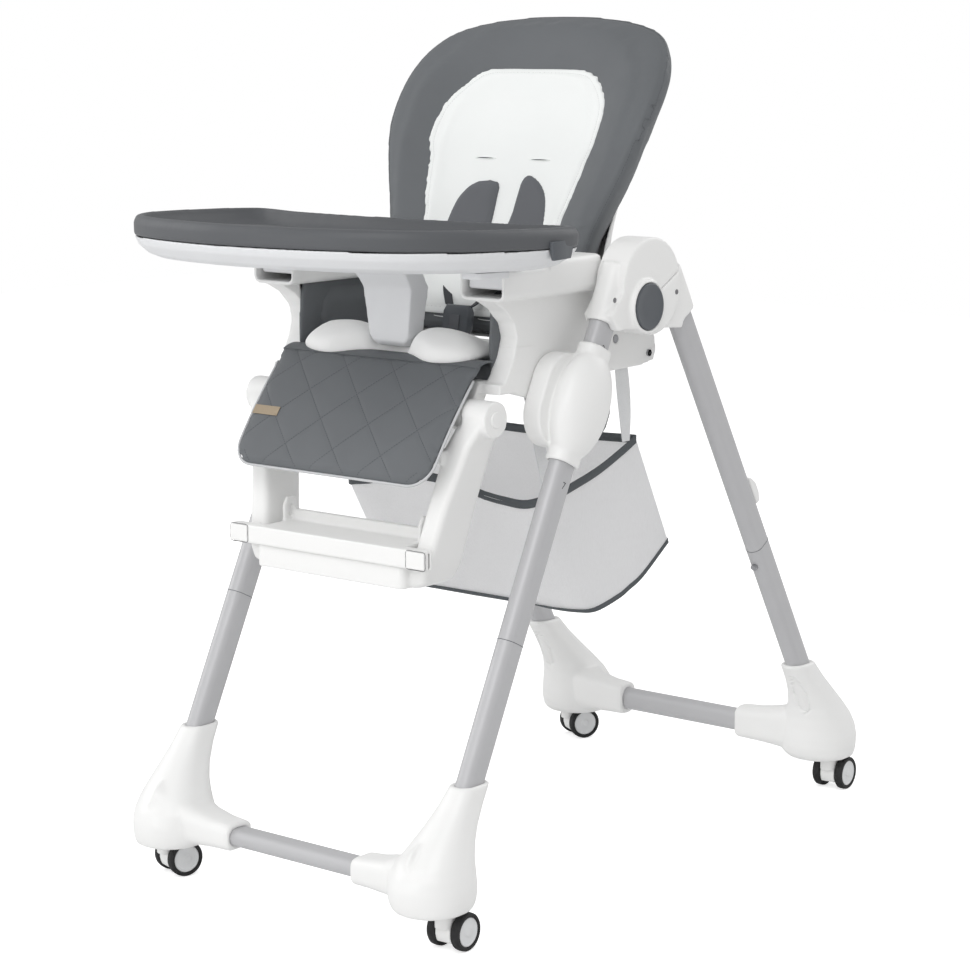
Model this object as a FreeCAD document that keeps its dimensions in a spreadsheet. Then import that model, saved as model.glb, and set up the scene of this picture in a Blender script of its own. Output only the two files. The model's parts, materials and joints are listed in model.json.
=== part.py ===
"""Folding baby high chair, as a parametric FreeCAD document.

Frame: +Z up, the child faces -Y, the origin is on the floor under the middle of the chair.
All lengths are millimetres and all angles are degrees.
"""
import FreeCAD, Part
import math
import os
import re
import Sketcher

V = FreeCAD.Vector
TINY = 1e-6

doc = FreeCAD.newDocument("HighChair")
sheet = doc.addObject("Spreadsheet::Sheet", "Size")

# ---------------------------------------------------------------- driving dimensions
SIZES = [
    # hub and leg lines; the two offsets are square distances from the fold pivot to a leg line
    ("leg_plane", 220), ("hub_y", -20), ("hub_z", 723),
    ("front_lean", 26.3), ("front_offset", 40.4), ("rear_lean", 30.65), ("rear_offset", 82.7),
    # leg tube: a flat-sided oval
    ("tube_wide", 24), ("tube_deep", 37), ("tube_wall", 1.5), ("fit_gap", 0.1),
    ("front_seam", 446), ("front_foot", 722), ("rear_seam", 449), ("rear_foot", 770),
    ("spigot_long", 40), ("tube_in_hub", 40), ("snap_dia", 9),
    ("snap_out", 4), ("snap_deep", 9), ("hook_down", 352), ("hook_long", 42),
    ("hook_out", 12), ("hook_wide", 14),
    # cross tubes and boots
    ("front_cross_y", -385), ("front_cross_z", 75), ("front_cross_high", 22), ("front_cross_deep", 34),
    ("rear_cross_y", 436), ("rear_cross_z", 85), ("rear_cross_high", 32), ("rear_cross_deep", 24),
    ("toe_end", 100), ("toe_grip", 70), ("toe_wall", 5), ("boot_bottom", 50), ("boot_outer", 261),
    ("front_boot_top", 188), ("rear_boot_top", 195), ("boot_wall", 5), ("heel_half", 51),
    ("heel_rise", 82),
    # casters
    ("caster_x", 228), ("front_caster_y", -387), ("rear_caster_y", 463), ("caster_trail", 18),
    ("wheel_dia", 46), ("wheel_wide", 12), ("wheel_gap", 22.6), ("axle_dia", 6), ("hood_dia", 43),
    ("stem_dia", 11), ("stem_long", 30), ("caster_play", 0.5), ("tyre_round", 3),
    ("yaw_front_left", 2), ("yaw_front_right", 17), ("yaw_rear_left", 2), ("yaw_rear_right", 29),
    # fold hub
    ("hub_inner", 203), ("hub_outer", 246), ("dome_y", 15), ("dome_z", 23), ("dome_radius", 60),
    ("sleeve_wall", 4.5), ("front_sleeve_end", 42), ("rear_sleeve_end", 70), ("sleeve_out", 239),
    ("ring_radius", 33), ("ring_inner", 29), ("ring_high", 7), ("hub_gap", 0.6), ("ear_drop", 8),
    ("button_dia", 57.2), ("button_thick", 9), ("button_travel", 4), ("blade_thick", 12),
    ("blade_radius", 15), ("hub_pin_dia", 12), ("pin_play", 0.06),
    # slider on the front leg
    ("slider_mid", 146), ("slider_half", 70), ("slider_deep", 45), ("slider_wide", 27.5),
    ("collar_wall", 5), ("collar_half", 75), ("slide_play", 0.08), ("slider_inner", 196.4),
    ("lever_wide", 16), ("lever_long", 34), ("lever_out", 5), ("lever_travel", 3), ("lever_depth", 12),
    ("lever_aside", 4),
    ("bridge_wide", 84), ("bridge_long", 118), ("bridge_lap", 12),
    # seat
    ("side_outer", 182), ("side_thick", 10), ("flange_wide", 28), ("seat_floor", 634), ("seat_wall", 4),
    ("arm_top", 787), ("arm_box_low", 742), ("arm_box_inner", 133), ("arm_box_outer", 200),
    ("arm_front", -240), ("arm_step_y", -150), ("arm_rear", -48), ("box_wall", 4),
    ("seat_pad_thick", 22), ("wing_thick", 8), ("arm_gap", 0.5), ("cap_thick", 5),
    # backrest; the lean is from upright
    ("back_lean", 20), ("back_foot_y", -36), ("back_foot_z", 690), ("back_high", 402), ("back_half", 201.5),
    ("back_pad_thick", 22), ("back_shell_deep", 34), ("shell_wall", 3.5), ("back_pin_dia", 10),
    ("back_pin_y", 8), ("back_pin_z", 676), ("back_pin_in", 30), ("soft_gap", 0.4),
    ("handle_wide", 90), ("handle_high", 30), ("handle_thick", 12), ("handle_at", 300),
    # tray
    ("tray_half", 272), ("tray_front", -506), ("tray_rear", -160), ("tray_low", 780), ("tray_part", 805),
    ("tray_rim", 830), ("tray_wall", 3), ("tray_floor", 811), ("tray_tilt", 1.7), ("tray_hinge", -165),
    ("tongue_end", -92), ("tongue_high", 20),
    ("rail_clear", 0.7),
    ("base_hole", 4), ("release_low", 772), ("release_inner", 206), ("release_outer", 234), ("web_wide", 12),
    ("release_front", -165), ("release_rear", -105),
    ("post_top_wide", 86), ("post_low_wide", 62), ("post_deep", 34), ("post_y", -200),
    ("post_bottom", 674), ("post_lean", 34),
    # footrest and step
    ("foot_pivot_y", -245), ("foot_pivot_z", 604), ("foot_pin_dia", 14), ("foot_head_dia", 44),
    ("head_inner", 152), ("head_outer", 192), ("step_half", 157), ("step_front", -334),
    ("step_top", 455), ("step_low", 432), ("step_arm_front", -317), ("plate_half", 112), ("plate_rear", -266),
    ("button_inner", 128), ("button_outer", 156), ("button_deep", 8), ("press_travel", 3),
    ("foot_bar_low", 404), ("bar_gap", 0.3), ("lug_room", 46), ("lug_thick", 18), ("foot_knee", 500),
    ("foot_shoulder", 34), ("calf_notch", 131), ("pad_lean", 52.5), ("pad_long", 125), ("pad_thick", 8),
    ("pad_half", 157), ("pad_foot_y", -331), ("pad_foot_z", 531), ("board_thick", 4), ("notch_long", 45),
    ("pad_corner", 34), ("board_inset", 17),
    # liner and harness
    ("liner_thick", 10), ("buckle_y", -104), ("buckle_z", 690.7),
    # basket and straps
    ("basket_half", 168.6), ("cloth", 3), ("strap_wide", 20), ("strap_thick", 2.6),
]


for row, (alias, value) in enumerate(SIZES, start=1):
    sheet.set("A%d" % row, alias.replace("_", " "))
    sheet.set("B%d" % row, str(value))
    sheet.setAlias("B%d" % row, alias)
doc.recompute()


class Dim:
    """A length or an angle: its value, and the expression on the sheet that gives it."""

    def __init__(self, value, text):
        self.value = value
        self.text = text

    def __add__(self, other):
        return Dim(self.value + number(other), "(%s + %s)" % (self.text, wording(other)))

    def __radd__(self, other):
        return Dim(number(other) + self.value, "(%s + %s)" % (wording(other), self.text))

    def __sub__(self, other):
        return Dim(self.value - number(other), "(%s - %s)" % (self.text, wording(other)))

    def __rsub__(self, other):
        return Dim(number(other) - self.value, "(%s - %s)" % (wording(other), self.text))

    def __mul__(self, other):
        return Dim(self.value * number(other), "(%s * %s)" % (self.text, wording(other)))

    __rmul__ = __mul__

    def __truediv__(self, other):
        return Dim(self.value / number(other), "(%s / %s)" % (self.text, wording(other)))

    def __neg__(self):
        return Dim(-self.value, "(0 - %s)" % self.text)


def number(size):
    return size.value if isinstance(size, Dim) else float(size)


def wording(size):
    return size.text if isinstance(size, Dim) else "(%.10g)" % size


def sine(angle):
    return Dim(math.sin(math.radians(number(angle))), "sin(%s * 1 deg)" % wording(angle))


def cosine(angle):
    return Dim(math.cos(math.radians(number(angle))), "cos(%s * 1 deg)" % wording(angle))


class Sizes:
    """The sheet's cells as Dim values, read by their alias."""


S = Sizes()
for alias, value in SIZES:
    setattr(S, alias, Dim(float(sheet.get(alias)), "Size." + alias))


# ---------------------------------------------------------------- building helpers
def bind(obj, prop, size):
    """Ties one property to the sheet; a plain number is set as it is."""
    if isinstance(size, Dim):
        obj.setExpression(prop, size.text)


def place(obj, x=0, y=0, z=0, tilt=0, backward=False, turn=0):
    """Puts an object in the chair: a tilt about X (backward: top towards +Y) or a turn about Z."""
    if number(turn):
        axis, angle = V(0, 0, 1), turn
    else:
        axis, angle = V(-1 if backward else 1, 0, 0), tilt
    spin = FreeCAD.Rotation(axis, number(angle))
    obj.Placement = FreeCAD.Placement(V(number(x), number(y), number(z)), spin)
    for name, size in (("x", x), ("y", y), ("z", z)):
        bind(obj, "Placement.Base." + name, size)
    if number(angle):
        bind(obj, "Placement.Rotation.Angle", angle)
    return obj


def origin_plane(body, plane):
    return [f for f in body.Origin.OriginFeatures if f.Role == plane + "_Plane"][0]


def sketch(body, plane, offset, loops):
    """A sketch on a plane of the body's own origin, moved along the plane's normal."""
    sk = body.newObject("Sketcher::SketchObject", body.Name + "Sketch")
    sk.AttachmentSupport = (origin_plane(body, plane), [""])
    sk.MapMode = "FlatFace"
    if plane == "XZ":
        offset = -offset
    sk.AttachmentOffset = FreeCAD.Placement(V(0, 0, number(offset)), FreeCAD.Rotation())
    bind(sk, "AttachmentOffset.Base.z", offset)
    for loop in loops:
        loop(sk)
    return sk


def rule(sk, kind, where, size):
    """A dimension of a sketch, bound to the sheet."""
    index = sk.addConstraint(Sketcher.Constraint(kind, *where, number(size)))
    bind(sk, "Constraints[%d]" % index, size)


def pin_point(sk, geo, end, x, y):
    """Holds one point of a sketch at (x, y)."""
    for kind, axis, size in (("DistanceX", -2, x), ("DistanceY", -1, y)):
        if isinstance(size, Dim) or abs(number(size)) > TINY:
            rule(sk, kind, (-1, 1, geo, end), size)
        else:
            sk.addConstraint(Sketcher.Constraint("PointOnObject", geo, end, axis))


def polygon(points):
    """A closed outline with straight sides."""
    def draw(sk):
        first = sk.GeometryCount
        spots = [V(number(x), number(y), 0) for x, y in points]
        count = len(spots)
        for i in range(count):
            sk.addGeometry(Part.LineSegment(spots[i], spots[(i + 1) % count]), False)
        for i in range(count):
            after = first + (i + 1) % count
            sk.addConstraint(Sketcher.Constraint("Coincident", first + i, 2, after, 1))
        for i, (x, y) in enumerate(points):
            pin_point(sk, first + i, 1, x, y)
    return draw


def circle(x, y, dia):
    def draw(sk):
        middle = V(number(x), number(y), 0)
        geo = sk.addGeometry(Part.Circle(middle, V(0, 0, 1), number(dia) / 2), False)
        rule(sk, "Diameter", (geo,), dia)
        pin_point(sk, geo, 3, x, y)
    return draw


def oval(x, y, wide, high):
    """A flat-sided oval: two half circles joined by two straight sides."""
    def draw(sk):
        first = sk.GeometryCount
        upright = number(high) > number(wide)
        radius = (wide if upright else high) / 2
        reach = (high - wide) / 2 if upright else (wide - high) / 2
        cx, cy, r, d = number(x), number(y), number(radius), number(reach)
        turn = math.pi / 2 if upright else 0.0
        along = V(math.cos(turn), math.sin(turn), 0)
        across = V(-math.sin(turn), math.cos(turn), 0)
        middle = V(cx, cy, 0)
        ends = [middle + along * d, middle - along * d]
        up = V(0, 0, 1)
        arc_a = Part.ArcOfCircle(Part.Circle(ends[0], up, r), turn - math.pi / 2, turn + math.pi / 2)
        arc_b = Part.ArcOfCircle(Part.Circle(ends[1], up, r), turn + math.pi / 2, turn + 3 * math.pi / 2)
        side_a = Part.LineSegment(ends[0] + across * r, ends[1] + across * r)
        side_b = Part.LineSegment(ends[1] - across * r, ends[0] - across * r)
        for piece in (arc_a, side_a, arc_b, side_b):
            sk.addGeometry(piece, False)
        for i in range(4):
            sk.addConstraint(Sketcher.Constraint("Tangent", first + i, 2, first + (i + 1) % 4, 1))
        sk.addConstraint(Sketcher.Constraint("Equal", first, first + 2))
        rule(sk, "Radius", (first,), radius)
        pin_point(sk, first, 3, x if upright else x + reach, y + reach if upright else y)
        pin_point(sk, first + 2, 3, x if upright else x - reach, y - reach if upright else y)
    return draw


def soft_box(x0, x1, y0, y1, r):
    """A rectangle with equal round corners."""
    def draw(sk):
        first = sk.GeometryCount
        ax, bx, ay, by, rr = (number(v) for v in (x0, x1, y0, y1, r))
        up = V(0, 0, 1)
        middles = [(bx - rr, by - rr), (ax + rr, by - rr), (ax + rr, ay + rr), (bx - rr, ay + rr)]
        for i, (cx, cy) in enumerate(middles):
            start = i * math.pi / 2
            ring = Part.Circle(V(cx, cy, 0), up, rr)
            sk.addGeometry(Part.ArcOfCircle(ring, start, start + math.pi / 2), False)
        sides = [((bx - rr, by), (ax + rr, by)), ((ax, by - rr), (ax, ay + rr)),
                 ((ax + rr, ay), (bx - rr, ay)), ((bx, ay + rr), (bx, by - rr))]
        for begin, end in sides:
            sk.addGeometry(Part.LineSegment(V(*begin, 0), V(*end, 0)), False)
        for i in range(4):
            line, arc, after = first + 4 + i, first + i, first + (i + 1) % 4
            sk.addConstraint(Sketcher.Constraint("Tangent", arc, 2, line, 1))
            sk.addConstraint(Sketcher.Constraint("Tangent", line, 2, after, 1))
        for i in (1, 2, 3):
            sk.addConstraint(Sketcher.Constraint("Equal", first, first + i))
        rule(sk, "Radius", (first,), r)
        sk.addConstraint(Sketcher.Constraint("Horizontal", first + 4))
        sk.addConstraint(Sketcher.Constraint("Vertical", first + 5))
        pin_point(sk, first, 3, x1 - r, y1 - r)
        pin_point(sk, first + 2, 3, x0 + r, y0 + r)
    return draw


def body(name):
    return doc.addObject("PartDesign::Body", name)


def pad(host, plane, low, high, *loops):
    """Material between two levels along X (YZ sketch), Y (XZ sketch) or Z (XY sketch)."""
    sk = sketch(host, plane, high if plane == "XZ" else low, loops)
    feature = host.newObject("PartDesign::Pad", host.Name + "Pad")
    feature.Profile = sk
    feature.Length = number(high) - number(low)
    bind(feature, "Length", high - low)
    doc.recompute()
    return host


def pocket(host, plane, low, high, *loops):
    """Takes away what lies between two levels."""
    before = host.Shape.Volume
    sk = sketch(host, plane, low if plane == "XZ" else high, loops)
    feature = host.newObject("PartDesign::Pocket", host.Name + "Pocket")
    feature.Profile = sk
    feature.Length = number(high) - number(low)
    bind(feature, "Length", high - low)
    doc.recompute()
    assert host.Shape.Volume < before - TINY, "an empty pocket in " + host.Name
    return host


def loft(host, plane, sections, cutting=False, ruled=False):
    """Material (or a hollow) through sections given as (level, loop)."""
    sketches = [sketch(host, plane, level, [loop]) for level, loop in sections]
    kind = "PartDesign::SubtractiveLoft" if cutting else "PartDesign::AdditiveLoft"
    feature = host.newObject(kind, host.Name + "Loft")
    feature.Profile = sketches[0]
    feature.Sections = sketches[1:]
    feature.Ruled = ruled
    doc.recompute()
    return host


def soften(host, radius, wanted):
    """Rounds the edges that a test picks out."""
    names = ["Edge%d" % (i + 1) for i, edge in enumerate(host.Shape.Edges) if wanted(edge)]
    assert names, "no edge to round in " + host.Name
    base = host.Tip
    feature = host.newObject("PartDesign::Fillet", host.Name + "Fillet")
    feature.Base = (base, names)
    feature.Radius = number(radius)
    bind(feature, "Radius", radius)
    doc.recompute()
    return host


def box(name, x0, x1, y0, y1, z0, z1):
    obj = doc.addObject("Part::Box", name)
    for prop, low, high in (("Length", x0, x1), ("Width", y0, y1), ("Height", z0, z1)):
        setattr(obj, prop, number(high) - number(low))
        bind(obj, prop, high - low)
    return place(obj, x0, y0, z0)


def rod(name, x0, x1, y, z, dia):
    """A round bar along X."""
    obj = doc.addObject("Part::Cylinder", name)
    obj.Radius = number(dia) / 2
    bind(obj, "Radius", dia / 2)
    obj.Height = number(x1) - number(x0)
    bind(obj, "Height", x1 - x0)
    obj.Placement = FreeCAD.Placement(V(number(x0), number(y), number(z)), FreeCAD.Rotation(V(0, 1, 0), 90))
    for axis, size in (("x", x0), ("y", y), ("z", z)):
        bind(obj, "Placement.Base." + axis, size)
    return obj


def post(name, x, y, z0, z1, dia):
    """A round bar along Z."""
    obj = doc.addObject("Part::Cylinder", name)
    obj.Radius = number(dia) / 2
    bind(obj, "Radius", dia / 2)
    obj.Height = number(z1) - number(z0)
    bind(obj, "Height", z1 - z0)
    return place(obj, x, y, z0)


def fuse(name, *parts):
    obj = doc.addObject("Part::MultiFuse", name)
    obj.Shapes = list(parts)
    obj.Refine = True
    doc.recompute()
    return obj


def group(name, *parts):
    """Several separate solids of one node."""
    obj = doc.addObject("Part::Compound", name)
    obj.Links = list(parts)
    doc.recompute()
    return obj


def cut(name, base, *tools):
    obj = doc.addObject("Part::Cut", name)
    obj.Base = base
    obj.Tool = tools[0] if len(tools) == 1 else fuse(name + "Tools", *tools)
    obj.Refine = True
    doc.recompute()
    return obj


def common(name, base, tool):
    obj = doc.addObject("Part::Common", name)
    obj.Base = base
    obj.Tool = tool
    doc.recompute()
    return obj


def shaped(name, shape):
    """A piece whose free-form shape comes from Part's own functions."""
    obj = doc.addObject("Part::Feature", name)
    obj.Shape = shape
    return obj


def other_side(name, obj):
    """The mirror piece across the middle plane of the chair."""
    twin = doc.addObject("Part::Mirroring", name)
    twin.Source = obj
    twin.Base = V(0, 0, 0)
    twin.Normal = V(1, 0, 0)
    doc.recompute()
    return twin


NODES = []


def node(label, obj):
    """Names one finished piece; its label is also its file."""
    obj.Label = label
    NODES.append(obj)
    return obj


def pair(label, obj):
    """A left piece (+X, the child's left) and its mirror on the right."""
    node(label + "_left", obj)
    node(label + "_right", other_side(obj.Name + "Twin", obj))


# ---------------------------------------------------------------- places worked out from the sizes
half_wide, half_deep = S.tube_wide / 2, S.tube_deep / 2
tube_in_wide, tube_in_deep = S.tube_wide - S.tube_wall * 2, S.tube_deep - S.tube_wall * 2
hole_wide, hole_deep = S.tube_wide + S.fit_gap * 2, S.tube_deep + S.fit_gap * 2
front_line, rear_line = -S.front_offset, S.rear_offset
front_top = S.tube_in_hub - S.front_sleeve_end
rear_top = S.tube_in_hub - S.rear_sleeve_end
hub_middle = (S.hub_inner + S.hub_outer) / 2
arm_deck = S.tray_low - S.soft_gap
web_x = (S.arm_box_inner + S.arm_box_outer) / 2


def on_front_leg(obj):
    """Frame with its origin at the fold pivot and Z along the front leg."""
    return place(obj, 0, S.hub_y, S.hub_z, S.front_lean, True)


def on_rear_leg(obj):
    """Frame with its origin at the fold pivot and Z along the rear leg."""
    return place(obj, 0, S.hub_y, S.hub_z, S.rear_lean)


def at_pivot(obj):
    return place(obj, 0, S.hub_y, S.hub_z)


def front_leg_y(level):
    """Where the front leg's middle line is at a height above the floor."""
    drop = (level - S.hub_z) / cosine(S.front_lean)
    return S.hub_y - S.front_offset / cosine(S.front_lean) + drop * sine(S.front_lean)


def rear_leg_y(level):
    drop = (level - S.hub_z) / cosine(S.rear_lean)
    return S.hub_y + S.rear_offset / cosine(S.rear_lean) - drop * sine(S.rear_lean)


# ---------------------------------------------------------------- legs
def leg_upper(name, line, low, high):
    """The upper tube of a leg, open at both ends."""
    tube = body(name)
    outer = oval(S.leg_plane, line, S.tube_wide, S.tube_deep)
    inner = oval(S.leg_plane, line, tube_in_wide, tube_in_deep)
    return pad(tube, "XY", low, high, outer, inner)


def leg_lower(name, line, low, high):
    """The lower tube, with a spigot that plugs into the upper one."""
    tube = body(name)
    outer = oval(S.leg_plane, line, S.tube_wide, S.tube_deep)
    bore = oval(S.leg_plane, line, tube_in_wide, tube_in_deep)
    spigot_wide, spigot_deep = tube_in_wide - S.fit_gap * 2, tube_in_deep - S.fit_gap * 2
    spigot = oval(S.leg_plane, line, spigot_wide, spigot_deep)
    hollow = oval(S.leg_plane, line, spigot_wide - S.tube_wall * 2, spigot_deep - S.tube_wall * 2)
    pad(tube, "XY", low, high - S.tube_wall * 2, outer, bore)
    pad(tube, "XY", high - S.tube_wall * 2, high, outer, hollow)
    return pad(tube, "XY", high, high + S.spigot_long, spigot, hollow)


def legs():
    front = on_front_leg(leg_upper("FrontLeg", front_line, -S.front_seam, front_top))
    pair("front_leg", front)
    rear = on_rear_leg(leg_upper("RearLeg", rear_line, -S.rear_seam, rear_top))
    pair("rear_leg", rear)
    low_front = on_front_leg(leg_lower("FrontLegLow", front_line, -S.front_foot, -S.front_seam))
    low_rear = on_rear_leg(leg_lower("RearLegLow", rear_line, -S.rear_foot, -S.rear_seam))
    pocket(low_rear, "XZ", rear_line - half_deep - S.tube_wall, rear_line,
           circle(S.leg_plane, -S.rear_seam - S.spigot_long / 2 - 4, S.snap_dia + S.slide_play * 2))
    node("front_legs_lower", group("FrontLow", low_front, other_side("FrontLegLowTwin", low_front)))
    node("rear_legs_lower", group("RearLow", low_rear, other_side("RearLegLowTwin", low_rear)))


def cross_tube(name, label, y, z, deep, high):
    """The flat oval tube that joins two boots."""
    tube = body(name)
    reach = S.toe_end + S.toe_grip
    pad(tube, "YZ", -reach, reach, oval(y, z, deep, high),
        oval(y, z, deep - S.tube_wall * 2, high - S.tube_wall * 2))
    node(label, tube)


# ---------------------------------------------------------------- boots
# how far each level of the boot has swelled from the sleeve (0) to the heel (1)
BOOT_FLARE = [(1.0, 0.0), (0.84, 0.1), (0.68, 0.28), (0.54, 0.5), (0.42, 0.73), (0.31, 0.91), (0.21, 1.0),
              (0.12, 0.99), (0.045, 0.91), (0.0, 0.75)]
# how far each station along the toe has swelled from the grip (0) to the heel (1)
TOE_FLARE = [(0.0, 0.0), (0.25, 0.06), (0.5, 0.2), (0.72, 0.46), (0.9, 0.8), (1.0, 1.0)]


def boot(name, label, leg_y, top, cross_y, cross_z, cross_deep, cross_high, caster_y, leg_frame, line, foot):
    """The moulded boot: a sleeve round the leg, a heel over the caster, a toe on the cross tube."""
    wide, deep = half_wide + S.boot_wall, half_deep / cosine(S.front_lean) + S.boot_wall
    low = S.boot_bottom
    heel_x = S.boot_outer - S.heel_half
    heel = body(name + "Heel")
    heel_loops = []
    for height, share in BOOT_FLARE:
        level = low + (top - low) * height
        middle_x = S.leg_plane + (heel_x - S.leg_plane) * share
        middle_y = leg_y(level) + (caster_y - leg_y(level)) * share
        half_x = wide + (S.heel_half - wide) * share
        half_y = deep + (S.heel_half - deep) * share
        heel_loops.append((level, soft_box(middle_x - half_x, middle_x + half_x, middle_y - half_y,
                                           middle_y + half_y, half_x * 0.94)))
    loft(heel, "XY", heel_loops, ruled=True)
    toe = body(name + "Toe")
    toe_half = cross_deep / 2 + S.toe_wall
    toe_low, toe_top = cross_z - cross_high / 2 - S.toe_wall, cross_z + cross_high / 2 + S.toe_wall
    toe_loops = []
    for along, share in TOE_FLARE:
        half = toe_half + (S.heel_half * 0.88 - toe_half) * share
        middle = cross_y + (caster_y - cross_y) * share
        toe_loops.append((S.toe_end + (heel_x - S.toe_end) * along, soft_box(
            middle - half, middle + half, toe_low + (low - toe_low) * share,
            toe_top + (low + S.heel_rise - toe_top) * share, S.toe_wall * (2 + share * 4))))
    loft(toe, "YZ", toe_loops, ruled=True)
    socket = body(name + "Socket")
    pad(socket, "XY", -foot, -foot + top, oval(S.leg_plane, line, hole_wide, hole_deep))
    leg_frame(socket)
    grip = body(name + "Grip")
    pad(grip, "YZ", S.toe_end - 1, S.toe_end + S.toe_grip,
        oval(cross_y, cross_z, cross_deep + S.fit_gap * 2, cross_high + S.fit_gap * 2))
    stem = post(name + "StemHole", S.caster_x, caster_y, S.boot_bottom - 1, S.boot_bottom + S.stem_long,
                S.stem_dia + S.pin_play * 2)
    shell = cut(name, fuse(name + "Solid", heel, toe), socket, grip, stem)
    pair(label, shell)


# ---------------------------------------------------------------- casters
def caster(label, side, caster_y, yaw, yaw_back):
    """A twin-wheel caster: a hood with its swivel stem, and two wheels on one axle."""
    name = "".join(word.capitalize() for word in label.split("_"))
    wheel_r = S.wheel_dia / 2
    hood_half = S.wheel_gap / 2 - S.caster_play
    hood = body(name + "Hood")
    pad(hood, "YZ", -hood_half, hood_half, circle(S.caster_trail, wheel_r, S.hood_dia))
    pocket(hood, "YZ", -hood_half, hood_half,
           circle(S.caster_trail, wheel_r, S.axle_dia + S.pin_play * 2))
    neck = post(name + "Neck", 0, 0, wheel_r + S.axle_dia, S.boot_bottom - S.caster_play, S.stem_dia * 2)
    stem = post(name + "Stem", 0, 0, wheel_r + S.axle_dia, S.boot_bottom + S.stem_long - 1, S.stem_dia)
    mouth = box(name + "Mouth", -hood_half * 2, hood_half * 2, S.caster_trail - wheel_r * 2,
                S.caster_trail + wheel_r * 2, wheel_r * -1, wheel_r - S.axle_dia * 2)
    whole = cut(name + "HoodWhole", fuse(name + "HoodSolid", hood, neck, stem), mouth)
    wheels = []
    for sign in (1, -1):
        inner = S.wheel_gap / 2 * sign
        outer = (S.wheel_gap / 2 + S.wheel_wide) * sign
        low, high = (inner, outer) if sign > 0 else (outer, inner)
        wheel = body(name + ("Near" if sign > 0 else "Far"))
        pad(wheel, "YZ", low, high, circle(S.caster_trail, wheel_r, S.wheel_dia),
            circle(S.caster_trail, wheel_r, S.axle_dia))
        soften(wheel, S.tyre_round, lambda edge: abs(edge.Length - math.pi * number(S.wheel_dia)) < 0.01)
        wheels.append(wheel)
    axle = rod(name + "Axle", -S.wheel_gap / 2 - S.wheel_wide, S.wheel_gap / 2 + S.wheel_wide,
               S.caster_trail, wheel_r, S.axle_dia)
    rolling = group(name + "Wheels", *wheels, axle)
    for kind, obj in (("hood", whole), ("wheels", rolling)):
        holder = doc.addObject("Part::Compound", name + kind.capitalize() + "Placed")
        holder.Links = [obj]
        place(holder, S.caster_x * side, caster_y, 0, turn=yaw)
        if yaw_back:
            holder.Placement.Rotation = FreeCAD.Rotation(V(0, 0, -1), number(yaw))
        doc.recompute()
        node("%s_%s" % (label, kind), holder)


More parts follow.
